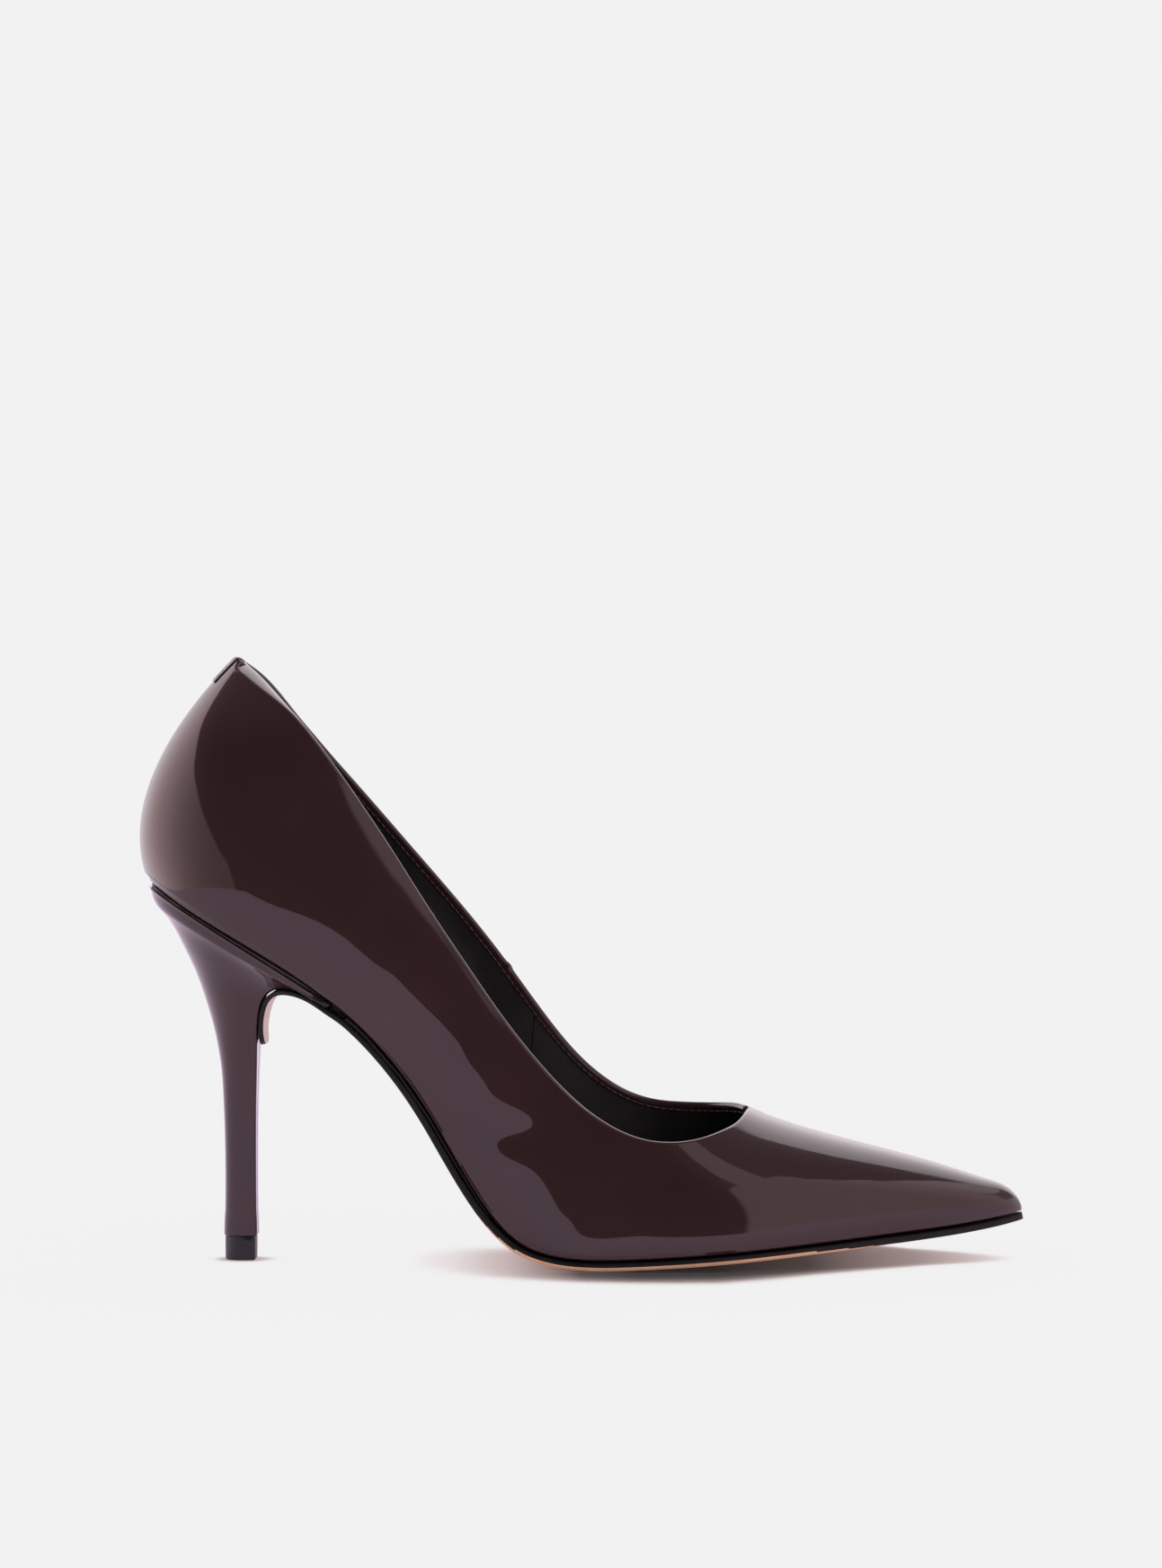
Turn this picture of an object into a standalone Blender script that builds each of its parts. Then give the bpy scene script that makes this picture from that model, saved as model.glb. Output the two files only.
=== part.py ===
"""High heel pump, right shoe, built from its separate shoemaking components.

Units in the tables are millimetres; every object is written out in metres.
+X points to the toe, +Y to the inner (medial) side, +Z up, floor at z = 0.
"""
import math

import bmesh
import bpy
import numpy as np

# ---------------------------------------------------------------- dimensions
MM = 0.001

# bed line: side view of the edge where the upper turns under the last (x, z)
BED_X = [-116, -100, -80, -65, -50, -40, -32, -25, -18, -10, 0, 15, 35, 60, 85, 105, 118]
BED_Z = [101.8, 91.5, 79.6, 69.3, 54.6, 40.6, 26.8, 15.8, 8.1, 4.1, 2.7, 3.1, 4.5, 6.5, 8.7, 10.9, 13.2]

# last stations from heel back to toe tip
STN_X = [-115.8, -113, -106, -95, -80, -63, -45, -27, -8, 14, 36, 58, 78, 95, 107.5, 114.8, 117.7]
STN_LAT = [0, 9.8, 18.2, 23.3, 25.7, 25.5, 24.4, 24.2, 28.2, 33, 34.2, 28.2, 20.6, 13.8, 8.4, 4.1, 0]
STN_MED = [0, 9.8, 18, 22.8, 24.8, 24, 21, 18.6, 21.4, 28.6, 35, 34.8, 27.8, 19.1, 11, 4.7, 0]
# crown line of the last (x, z): above the foot opening it is only a guide
CRN_X = [-66, -65, -63, -59, -53, -44, -32, -18, -1, 19, 38.5, 59, 79, 96, 108.2, 115.4, 117.7]
CRN_Z = [182, 180.5, 176, 167, 152, 134, 115, 95, 75, 58, 43.9, 35.5, 30.1, 25.4, 21.5, 17.9, 13.2]
# section shape: rise and swell of the side wall, drop and spread at the crown
SEC_RISE = [.33, .33, .33, .33, .34, .35, .36, .38, .40, .42, .44, .48, .50, .52, .55, .55, .55]
SEC_SWELL = [26, 23, 16, 11, 8.5, 7, 6.2, 7.2, .4, .8, 2.4, 4, 4.8, 4.4, 3, 1.2, 0]
SEC_DROP = [.27, .24, .18, .12, .07, .04, .02, 0, 0, 0, 0, 0, 0, 0, 0, 0, 0]
SEC_SPREAD = [18.6, 18.6, 19, 20, 21.5, 23.4, 25, 26.6, 27, 25, 21.2, 17.6, 14, 10.2, 6.3, 2.8, 0]

# topline, side view (x, z), outer and inner side of the foot
TOP_LAT_X = [-91.5, -84, -70.5, -58, -48.5, -39, -29.7, -20.3, -11, -1.5, 8, 17, 24, 31.4, 38, 41.5, 44.5]
TOP_LAT_Z = [160.8, 154.6, 140.1, 123, 108.8, 93.8, 79.9, 66.3, 54.5, 44.6, 37.8, 34.4, 33.8, 34.7, 36.8, 38.5, 41.1]
TOP_MED_X = [-91.5, -84, -74.6, -60.2, -45.6, -31, -21.2, -11.4, -1.6, 8.2, 18, 27.8, 37.4, 42, 44.5]
TOP_MED_Z = [160.8, 155, 143.5, 126.7, 110, 93.1, 80.8, 67.3, 54.9, 46.4, 42, 41, 41.3, 41.5, 41.1]
VAMP_X = 44.5            # throat point on the crown line
SEAM_MED_X = -26         # where the inner side seam meets the bed line

UPPER_T = 1.0            # patent leather
GAP = 0.3                # clearance between neighbouring layers
STIFF_T = 1.0            # heel counter and toe puff
LINING_T = 0.6
MARGIN_W = 10.0          # lasting margin turned under the insole board
BOARD_LO, BOARD_HI = 1.4, 3.1
FOAM_LO, FOAM_HI = 3.4, 4.7
SOCK_LO, SOCK_HI = 5.0, 5.8
SOLE_DROP_X = [-66, -58, -30, -10]
SOLE_DROP = [1.9, 1.3, 1.0, 0.5]       # outsole top below the bed line
SOLE_EDGE_T, SOLE_BULGE = 1.9, 0.7
SEAT_DROP = 0.35

COUNTER_END_X = -48      # counter wings stop here
PUFF_START_X = 83        # toe puff begins here

# heel: back line (x, z), breast line (x, z), half width at each level
HEEL_BACK = [(-115.1, 98.2), (-113.4, 95.6), (-110.9, 92.6), (-108.4, 88.6), (-105.4, 82.6), (-102.8, 77),
             (-100.6, 71), (-98.9, 65.5), (-97.5, 60), (-96.1, 52), (-95.5, 44), (-95.1, 34), (-94.9, 20),
             (-95.1, 7.1)]
HEEL_BREAST = [(-66, 67.4), (-68.8, 69.4), (-72.6, 71.4), (-76.8, 72.7), (-81, 72.4), (-84, 69.6),
               (-85.3, 65), (-85.7, 60.5), (-85.9, 56), (-86.1, 50), (-86.3, 43), (-86.4, 34), (-86.4, 20),
               (-86.3, 7.1)]
HEEL_HALF = [25.0, 24.2, 23.0, 20.9, 18.0, 15.0, 12.4, 10.2, 8.4, 6.8, 5.8, 5.2, 4.7, 4.6]
HEEL_ROUND = [.70, .70, .69, .68, .66, .64, .62, .60, .58, .56, .55, .55, .55, .55]
COVER_T = 0.6

# breast flap of the outsole (x, z) and its half width
FLAP = [(-66, 67.0), (-68.8, 68.9), (-72.4, 70.9), (-76.6, 72.1), (-80.6, 71.8), (-83.4, 69.2),
        (-84.7, 65), (-85, 61), (-84.6, 57.6)]
FLAP_HALF = [25.2, 24.0, 22.7, 20.6, 17.8, 14.8, 12.2, 10.3, 8.8]
FLAP_T = 1.3

TIP_X = -90.7            # axis of the heel stem
TOP_PIECE_BACK, TOP_PIECE_BREAST, TOP_PIECE_HALF = -94.9, -86.6, 4.4
TOP_PIECE_H = 6.5
DOWEL_R, DOWEL_BORE_R = 1.5, 0.95
DOWEL_LO, DOWEL_HI = 7.4, 60.0
DOWEL_HOLE_R = 1.8
PIN_R, PIN_HOLE_R, PIN_LO, PIN_HI = 0.7, 1.0, 2.4, 24.0
NAIL_SPOTS = [(-101, -4.2), (-101, 4.2), (-84, -11), (-84, 11)]
NAIL_R, NAIL_HEAD_R, NAIL_L = 0.7, 1.5, 9.0
SCREW_X, SCREW_R, SCREW_HEAD_R, SCREW_L = -91.0, 1.5, 2.4, 14.0
HEAD_LO, HEAD_HI = 1.2, 2.2
RIVET_X = (-64.0, -30.0)
RIVET_R = 1.2
SHANK_LO, SHANK_HI = -97.0, -14.0
SHANK_HALF = 5.0
HOLE_CLEAR = 0.3

# mesh columns along a side (bed x), closer where the shape bends
COL_X = [-115.8, -114.7, -111.5, -106, -98, -88, -77, -66, -56, -47, -39.5, -33, -27, -21, -15, -9, -3, 6, 17, 28, 36]
COL_X_FRONT = [50, 60, 72, 84, 95, 104, 110.5, 115, 117.7]
COL_THROAT = [-0.012, -0.003, 0]
ROWS = 7                 # mesh rows up a side wall
RING = 12                # sides of a round piece


# ------------------------------------------------------------------- splines
class Spline:
    """Cubic spline; each end is 'flat' (no slope) or 'free' (no bend)."""

    def __init__(self, knots, values, start="free", end="free"):
        self.k = np.asarray(knots, float)
        self.v = np.asarray(values, float)
        n = len(self.k)
        h = np.diff(self.k)
        d = np.diff(self.v) / h
        a = np.zeros((n, n))
        r = np.zeros(n)
        for i in range(1, n - 1):
            a[i, i - 1], a[i, i], a[i, i + 1] = h[i - 1], 2 * (h[i - 1] + h[i]), h[i]
            r[i] = 6 * (d[i] - d[i - 1])
        a[0, 0] = a[-1, -1] = 1
        if start == "flat":
            a[0, 0], a[0, 1], r[0] = 2 * h[0], h[0], 6 * d[0]
        if end == "flat":
            a[-1, -1], a[-1, -2], r[-1] = 2 * h[-1], h[-1], -6 * d[-1]
        self.m = np.linalg.solve(a, r)

    def __call__(self, x):
        x = np.clip(np.asarray(x, float), self.k[0], self.k[-1])
        i = np.clip(np.searchsorted(self.k, x) - 1, 0, len(self.k) - 2)
        h = self.k[i + 1] - self.k[i]
        p, q = (self.k[i + 1] - x) / h, (x - self.k[i]) / h
        bend = ((p ** 3 - p) * self.m[i] + (q ** 3 - q) * self.m[i + 1]) * h * h / 6
        return p * self.v[i] + q * self.v[i + 1] + bend


bed = Spline(BED_X, BED_Z)


def bed_frame(x):
    """Bed height and unit normal of the bed line in the XZ plane."""
    slope = (bed(x + 0.05) - bed(x - 0.05)) / 0.1
    length = np.sqrt(1 + slope ** 2)
    return bed(x), -slope / length, 1 / length


def on_bed(x, y, off):
    """Point at height off, square to the bed line."""
    z, nx, nz = bed_frame(np.asarray(x, float))
    return np.stack([x + off * nx, y + 0 * nx, z + off * nz], -1)


class Side:
    """One half of the last; sign -1 is the outer side, +1 the inner side."""

    def __init__(self, sign, widths, top_x, top_z):
        self.sign = sign
        fz = bed(np.array(STN_X))
        step = np.sqrt(np.diff(STN_X) ** 2 + np.diff(STN_LAT) ** 2 + np.diff(fz) ** 2)
        self.t = np.concatenate([[0], np.cumsum(step)]) / step.sum()
        self.fx = Spline(self.t, STN_X, "flat", "flat")
        self.fw = Spline(self.t, widths)
        self.ux = Spline(self.t, CRN_X, "flat", "flat")
        self.uz = Spline(self.t, CRN_Z, "flat", "free")
        self.rise = Spline(self.t, SEC_RISE, "flat")
        self.swell = Spline(self.t, SEC_SWELL, "flat")
        self.drop = Spline(self.t, SEC_DROP, "flat")
        self.spread = Spline(self.t, SEC_SPREAD, "flat")
        self.top = Spline(top_x, top_z)
        self.t_vamp = self.find(self.ux, VAMP_X)

    def find(self, curve, x):
        """Station where a rising curve reaches x."""
        lo, hi = 0.0, 1.0
        for _ in range(50):
            mid = (lo + hi) / 2
            lo, hi = (mid, hi) if curve(mid) < x else (lo, mid)
        return (lo + hi) / 2

    def outward(self, t):
        """Unit normal of the feather line in plan."""
        e = 1e-3
        t = np.clip(t, e, 1 - e)
        dx = self.fx(t + e) - self.fx(t - e)
        dw = self.fw(t + e) - self.fw(t - e)
        length = np.hypot(dx, dw)
        return -dw / length, dx / length

    def point(self, t, v):
        """Outer skin of the shoe: t heel to toe, v feather line to crown."""
        t, v = np.broadcast_arrays(np.asarray(t, float), np.asarray(v, float))
        fx, fw, ux, uz = self.fx(t), self.fw(t), self.ux(t), self.uz(t)
        fz = bed(fx)
        nx, ny = self.outward(t)
        fade = np.minimum(1, (1 - t) / 0.02)
        a, c = self.rise(t), self.drop(t)
        swell, spread = self.swell(t) * fade, self.spread(t)
        ex, ez = ux - fx, uz - fz
        back = np.clip(1 - t / self.t[5], 0, 1) ** 2
        nx2 = nx * back
        ny2 = 1 - back + ny * back
        b0, b1, b2, b3 = (1 - v) ** 3, 3 * v * (1 - v) ** 2, 3 * v * v * (1 - v), v ** 3
        x = b0 * fx + b1 * (fx + a * ex + swell * nx) + b2 * (ux - c * ex + spread * nx2) + b3 * ux
        y = b0 * fw + b1 * (fw + swell * ny) + b2 * spread * ny2
        z = b0 * fz + b1 * (fz + a * ez) + b2 * (uz - c * ez) + b3 * uz
        return np.stack([x, self.sign * y, z], -1)

    def normal(self, t, v):
        """Unit normal pointing out of the shoe."""
        e = 2e-3
        t0, t1 = np.clip(t - e, 0, 0.9985), np.clip(t + e, 0.0015, 1)
        v0, v1 = np.clip(v - e, 0, 1), np.clip(v + e, 0, 1)
        dt = self.point(t1, v) - self.point(t0, v)
        dv = self.point(np.minimum(t, 0.9985), v1) - self.point(np.minimum(t, 0.9985), v0)
        n = np.cross(dt, dv) * -self.sign
        return n / np.maximum(np.linalg.norm(n, axis=-1, keepdims=True), 1e-12)

    def inside(self, t, v, depth):
        """Point a given depth inside the outer skin."""
        depth = np.asarray(depth, float)
        p = self.point(t, v) - self.normal(t, v) * depth[..., None]
        at_crown = np.broadcast_to(np.asarray(v) >= 1, p.shape[:-1])
        at_back = np.broadcast_to(np.asarray(t) <= 0, p.shape[:-1])
        p[at_crown | at_back, 1] = 0
        return p

    def v_top(self, t):
        """Section position of the topline; 1 ahead of the throat."""
        out = []
        for ti in np.atleast_1d(t):
            if ti >= self.t_vamp - 1e-6:
                out.append(1.0)
                continue
            v = np.linspace(0.05, 1, 400)
            p = self.point(ti, v)
            over = p[:, 2] > self.top(p[:, 0])
            i = int(np.argmax(over))
            if i == 0:
                out.append(1.0)
                continue
            lo, hi = v[i - 1], v[i]
            for _ in range(30):
                mid = (lo + hi) / 2
                q = self.point(ti, mid)
                lo, hi = (lo, mid) if q[2] > self.top(q[0]) else (mid, hi)
            out.append((lo + hi) / 2)
        return np.array(out)

    def v_at_height(self, t, height, depth):
        """Section position where a layer at this depth is this high over the bed."""
        out = []
        for ti in np.atleast_1d(t):
            v = np.linspace(0, 0.6, 241)
            p = self.inside(np.full_like(v, ti), v, np.full_like(v, depth))
            z, nx, nz = bed_frame(np.clip(p[:, 0], BED_X[0], BED_X[-1]))
            rise = (p[:, 2] - z) * nz
            i = int(np.argmax(rise >= height))
            out.append(v[i] if rise[i] >= height else 0.6)
        return np.array(out)


LAT = Side(-1, STN_LAT, TOP_LAT_X, TOP_LAT_Z)
MED = Side(+1, STN_MED, TOP_MED_X, TOP_MED_Z)
T_SEAM = MED.find(MED.fx, SEAM_MED_X)


# -------------------------------------------------------------- mesh helpers
def material(name, colour, rough, metal=0.0):
    mat = bpy.data.materials.new(name)
    mat.use_nodes = True
    shader = mat.node_tree.nodes["Principled BSDF"]
    shader.inputs["Base Color"].default_value = (*colour, 1)
    shader.inputs["Roughness"].default_value = rough
    shader.inputs["Metallic"].default_value = metal
    return mat


def finish(name, bm, mat):
    bmesh.ops.remove_doubles(bm, verts=bm.verts, dist=2e-6)
    bmesh.ops.dissolve_degenerate(bm, edges=bm.edges, dist=1e-6)
    bmesh.ops.recalc_face_normals(bm, faces=bm.faces)
    mesh = bpy.data.meshes.new(name)
    bm.to_mesh(mesh)
    bm.free()
    mesh.materials.append(mat)
    obj = bpy.data.objects.new(name, mesh)
    bpy.context.scene.collection.objects.link(obj)
    return obj


def add_grid(bm, grid):
    """Add a grid of points and its faces; returns the grid of vertices."""
    rows, cols = grid.shape[:2]
    verts = [[bm.verts.new(grid[i, j] * MM) for j in range(cols)] for i in range(rows)]
    for i in range(rows - 1):
        for j in range(cols - 1):
            bm.faces.new((verts[i][j], verts[i + 1][j], verts[i + 1][j + 1], verts[i][j + 1]))
    return verts


def strip(bm, a, b):
    for i in range(len(a) - 1):
        bm.faces.new((a[i], a[i + 1], b[i + 1], b[i]))


def add_slab(bm, outer, inner, open_from=None):
    """Closed wall between two grids. Rim row 0 is left open from column open_from on."""
    o, n = add_grid(bm, outer), add_grid(bm, inner)
    strip(bm, o[0], n[0])
    strip(bm, o[-1], n[-1])
    top_o, top_n = [r[0] for r in o], [r[0] for r in n]
    last = len(top_o) if open_from is None else open_from + 1
    strip(bm, top_o[:last], top_n[:last])
    strip(bm, [r[-1] for r in o], [r[-1] for r in n])


def slab_object(name, outer, inner, mat):
    bm = bmesh.new()
    add_slab(bm, outer, inner)
    return finish(name, bm, mat)


# -------------------------------------------------------------------- shells
def base_stations(side):
    """Shared mesh columns, so that neighbouring layers stay parallel."""
    back = [side.find(side.fx, x) for x in COL_X]
    front = [side.find(side.fx, x) for x in COL_X_FRONT]
    back[0], front[-1] = 0.0, 1.0
    return np.array(back + [side.t_vamp + d for d in COL_THROAT] + front)


def stations(side, t0, t1):
    t = base_stations(side)
    t = t[(t > t0 + 1e-3) & (t < t1 - 1e-3)]
    return np.concatenate([[t0], t, [t1]])


def lining_depth(side, t):
    """The lining steps inward over the heel counter and the toe puff."""
    x = side.fx(t)
    back = np.clip((COUNTER_END_X + 18 - x) / 14, 0, 1)
    front = np.clip((x - PUFF_START_X + 20) / 14, 0, 1)
    s = np.maximum(back, front)
    return UPPER_T + GAP + (STIFF_T + GAP) * s * s * (3 - 2 * s)


def wall_grids(side, t, deep_out, deep_in, low, share=1.0):
    """Outer and inner grids of a wall from (a share of) the topline down to height low."""
    top = side.v_top(t)
    w = 1 - (1 - np.linspace(0, 1, ROWS + 1)) ** 1.5
    grids = []
    for depth in (deep_out, deep_in):
        d = np.broadcast_to(depth, t.shape)
        base = np.zeros_like(t)
        if low > 0:
            base = np.array([side.v_at_height(ti, low, di)[0] for ti, di in zip(t, d)])
        hi = top * share
        v = hi[:, None] + (base - hi)[:, None] * w[None, :]
        tt = np.broadcast_to(t[:, None], v.shape)
        dd = np.broadcast_to(d[:, None], v.shape)
        g = side.inside(tt, v, dd)
        g[t >= 1] = g[t >= 1].mean(axis=1, keepdims=True) * [1, 0, 1]
        grids.append(g)
    return grids


def margin_rows(side, t, level, start_in):
    """Rows of the lasting margin, turned in under the last."""
    fx, fw = side.fx(t), side.fw(t)
    nx, ny = side.outward(t)
    reach = np.where(t < 0.5, MARGIN_W, np.minimum(MARGIN_W, 0.5 * fw))
    rows = []
    for d in (np.minimum(start_in, reach), reach):
        y = np.maximum(fw - d * ny, 0)
        y = np.where((t <= 0) | (t >= 1), 0, y)
        rows.append(on_bed(fx - d * nx, side.sign * y, level))
    return np.stack(rows, 1)


def upper_grids(side, t):
    outer, inner = wall_grids(side, t, 0.0, UPPER_T, 0.0)
    under = margin_rows(side, t, 0.0, 2.0)
    above = margin_rows(side, t, UPPER_T, UPPER_T)
    middle = (above[:, :1] + above[:, 1:]) / 2
    outer = np.concatenate([outer, under], 1)
    inner = np.concatenate([inner[:, :-1], above[:, :1], middle, above[:, 1:]], 1)
    inner[t >= 1] = inner[t >= 1][:, :1]
    outer[t >= 1] = outer[t >= 1][:, :1]
    return outer, inner


def arch_object(name, mat, starts, end, grids):
    """Both sides of the foot in one piece, joined along the crown ahead of the throat."""
    bm = bmesh.new()
    for side, t0 in zip((LAT, MED), starts):
        t = stations(side, t0, end)
        outer, inner = grids(side, t)
        first = int(np.argmax(t >= side.t_vamp - 1e-6))
        add_slab(bm, outer, inner, first)
    return finish(name, bm, mat)


def back_object(name, mat, t_end, grids):
    """One piece running round the back of the heel on both sides."""
    parts = []
    for side in (LAT, MED):
        t = stations(side, 0.0, t_end)
        parts.append(grids(side, t))
    outer = np.concatenate([parts[0][0][::-1], parts[1][0][1:]])
    inner = np.concatenate([parts[0][1][::-1], parts[1][1][1:]])
    bm = bmesh.new()
    add_slab(bm, outer, inner)
    return finish(name, bm, mat)


def seam_gap(grids, side):
    """Open a hairline at the back seam so the two quarters do not touch."""
    shift = np.array([0, side.sign * GAP / 2, 0])
    return [g + shift for g in grids]


def make_vamp(mat):
    cut = 0.0009
    return arch_object("vamp_lateral_quarter", mat, (0.0, T_SEAM + cut), 1.0, upper_grids)


def make_medial_quarter(mat):
    t = stations(MED, 0.0, T_SEAM - 0.0009)
    outer, inner = seam_gap(upper_grids(MED, t), MED)
    return slab_object("medial_quarter", outer, inner, mat)


def make_linings(kid, suede):
    start = LAT.find(LAT.fx, -18)

    def lining(side, t):
        d = lining_depth(side, t)
        return wall_grids(side, t, d, d + LINING_T, 3.6)

    arch_object("vamp_lining", kid, (start + 0.0012, start + 0.0012), LAT.find(LAT.fx, 108), lining)
    back_object("quarter_lining", kid, start - 0.0012, lining)

    def grip(side, t):
        d = lining_depth(side, t) + LINING_T + GAP
        return wall_grids(side, t, d, d + LINING_T, 22, 0.9)

    back_object("heel_grip", suede, LAT.find(LAT.fx, -98), grip)


def make_stiffeners(mat):
    d = UPPER_T + GAP

    def counter(side, t):
        return wall_grids(side, t, d, d + STIFF_T, 3.6, 0.8)

    back_object("heel_counter", mat, LAT.find(LAT.fx, COUNTER_END_X), counter)

    def puff(side, t):
        return wall_grids(side, t, d, d + STIFF_T, 3.6)

    start = LAT.find(LAT.fx, PUFF_START_X)
    bm = bmesh.new()
    for side in (LAT, MED):
        t = stations(side, start, LAT.find(LAT.fx, 110.5))
        outer, inner = puff(side, t)
        add_slab(bm, outer, inner, -1)
    finish("toe_puff", bm, mat)


def topline_frame(side, t):
    """Topline points with the inward (depth) and away-from-opening directions."""
    v = side.v_top(t)
    p = side.point(t, v)
    n = side.normal(t, v)
    along = np.gradient(p, axis=0)
    along[0] = [0, side.sign, 0]
    along[-1] = [0, -side.sign, 0]
    n[0, 1] = 0
    n[-1, 1] = 0
    away = np.cross(n, along) * side.sign
    away /= np.linalg.norm(away, axis=1, keepdims=True)
    return p, -n, away


def make_facing(mat):
    """Folded topline edge, lapped onto the inside of the lining all round the opening."""
    loops = []
    for side in (LAT, MED):
        t = base_stations(side)
        t = t[t <= side.t_vamp]
        t = np.sort(np.concatenate([t, [side.t_vamp - d for d in (0.0008, 0.006, 0.02)]]))
        p, deep, away = topline_frame(side, t)
        d0 = lining_depth(side, t)[:, None] + LINING_T + 2 * GAP
        ring = [p + deep * (d0 + a) + away * b for a, b in ((0, .3), (.5, .3), (.5, 2.3), (0, 2.3))]
        g = np.stack(ring, 1)
        g[0, :, 1] = 0
        g[-1, :, 1] = 0
        loops.append(g)
    loop = np.concatenate([loops[0], loops[1][::-1][1:-1]])
    tube_object("topline_facing", loop, mat, True)


def tube_object(name, rings, mat, closed):
    """Sweep closed rings; closed joins the last ring to the first, else the ends are capped."""
    bm = bmesh.new()
    rows = [[bm.verts.new(p * MM) for p in ring] for ring in rings]
    pairs = list(zip(rows[:-1], rows[1:]))
    if closed:
        pairs.append((rows[-1], rows[0]))
    for a, b in pairs:
        for k in range(len(a)):
            m = (k + 1) % len(a)
            bm.faces.new((a[k], a[m], b[m], b[k]))
    if not closed:
        bm.faces.new(rows[0][::-1])
        bm.faces.new(rows[-1])
    return finish(name, bm, mat)


def make_back_tab(mat):
    """Small leather tab lapped over the top of the back seam."""
    reach = LAT.find(LAT.fw, 3.6)
    parts = []
    for depth in (-0.3, -0.9):
        rows = []
        for sign, side in ((-1, LAT), (1, MED)):
            t = np.linspace(0, reach, 5)
            top = side.v_top(t) - 0.006
            v = top[:, None] - np.linspace(0, 0.11, 5)[None, :]
            tt = np.broadcast_to(t[:, None], v.shape)
            g = side.inside(tt, v, np.full(v.shape, depth))
            rows.append(g[::-1] if sign < 0 else g[1:])
        parts.append(np.concatenate(rows))
    return slab_object("back_tab", parts[1], parts[0], mat)


# -------------------------------------------------------------- bottom layers
def inset_outline(side, inset):
    """Plan outline moved inwards, as half width against x."""
    t = np.linspace(0, 1, 600)
    nx, ny = side.outward(t)
    x = side.fx(t) - inset * nx
    y = side.fw(t) - inset * ny
    y[0] = 0
    keep = y >= 0
    keep &= np.concatenate([[True], np.diff(np.maximum.accumulate(x)) > 0])
    last = np.where(~keep & (t > 0.5))[0]
    if len(last):
        keep[last[0]:] = False
    return x[keep], y[keep]


def layer_stations(start, stop):
    """Shared columns within a range, with extra ones to round off both ends."""
    x = np.array([c for c in COL_X + [43, 46] + COL_X_FRONT])
    ends = [start, start + 0.6, start + 2.2, stop - 2.2, stop - 0.6, stop]
    x = x[(x > start + 3.5) & (x < stop - 3.5)]
    return np.sort(np.concatenate([x, ends]))


def bottom_slab(name, mat, inset, lo, hi, x0=-200.0, x1=200.0, across=4):
    """Layer of constant thickness following the bed line, cut square at x0 and x1."""
    lx, ly = inset_outline(LAT, inset)
    mx, my = inset_outline(MED, inset)
    start, stop = max(lx[0], mx[0], x0), min(lx[-1], mx[-1], x1)
    x = layer_stations(start, stop)
    wl, wm = np.interp(x, lx, ly), np.interp(x, mx, my)
    if start == max(lx[0], mx[0]):
        wl[0] = wm[0] = 0
    if stop == min(lx[-1], mx[-1]):
        wl[-1] = wm[-1] = 0
    f = np.linspace(0, 1, across)
    y = -wl[:, None] + (wl + wm)[:, None] * f[None, :]
    xx = np.broadcast_to(x[:, None], y.shape)
    return slab_object(name, on_bed(xx, y, hi), on_bed(xx, y, lo), mat)


def make_bottoms(board, foam, kid, cork, steel):
    bottom_slab("insole_board", board, 2.2, BOARD_LO, BOARD_HI, x1=108)
    bottom_slab("sock_foam", foam, 5.0, FOAM_LO, FOAM_HI, x1=86)
    bottom_slab("sock_lining", kid, 4.6, SOCK_LO, SOCK_HI, x1=86)
    bottom_slab("bottom_filler", cork, 11.0, 0.0, 1.0, -12, 96)
    x = layer_stations(SHANK_LO, SHANK_HI)
    taper = np.minimum(1, np.minimum(x - SHANK_LO + 3, SHANK_HI - x + 3) / 8)
    y = SHANK_HALF * taper[:, None] * np.linspace(-1, 1, 3)[None, :]
    xx = np.broadcast_to(x[:, None], y.shape)
    slab_object("steel_shank", on_bed(xx, y, 1.0), on_bed(xx, y, 0.1), steel)


def make_waist_filler(mat):
    """Thin piece that fills the step between the upper and the outsole at the waist."""
    lx, ly = inset_outline(LAT, 0.8)
    mx, my = inset_outline(MED, 0.8)
    x = layer_stations(-61.0, -24.0)
    y = np.stack([-np.interp(x, lx, ly), -8 + 0 * x, 8 + 0 * x, np.interp(x, mx, my)], 1)
    xx = np.broadcast_to(x[:, None], y.shape)
    low = GAP - np.interp(xx, SOLE_DROP_X, SOLE_DROP)
    slab_object("waist_filler", on_bed(xx, y, -GAP), on_bed(xx, y, low), mat)


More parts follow.
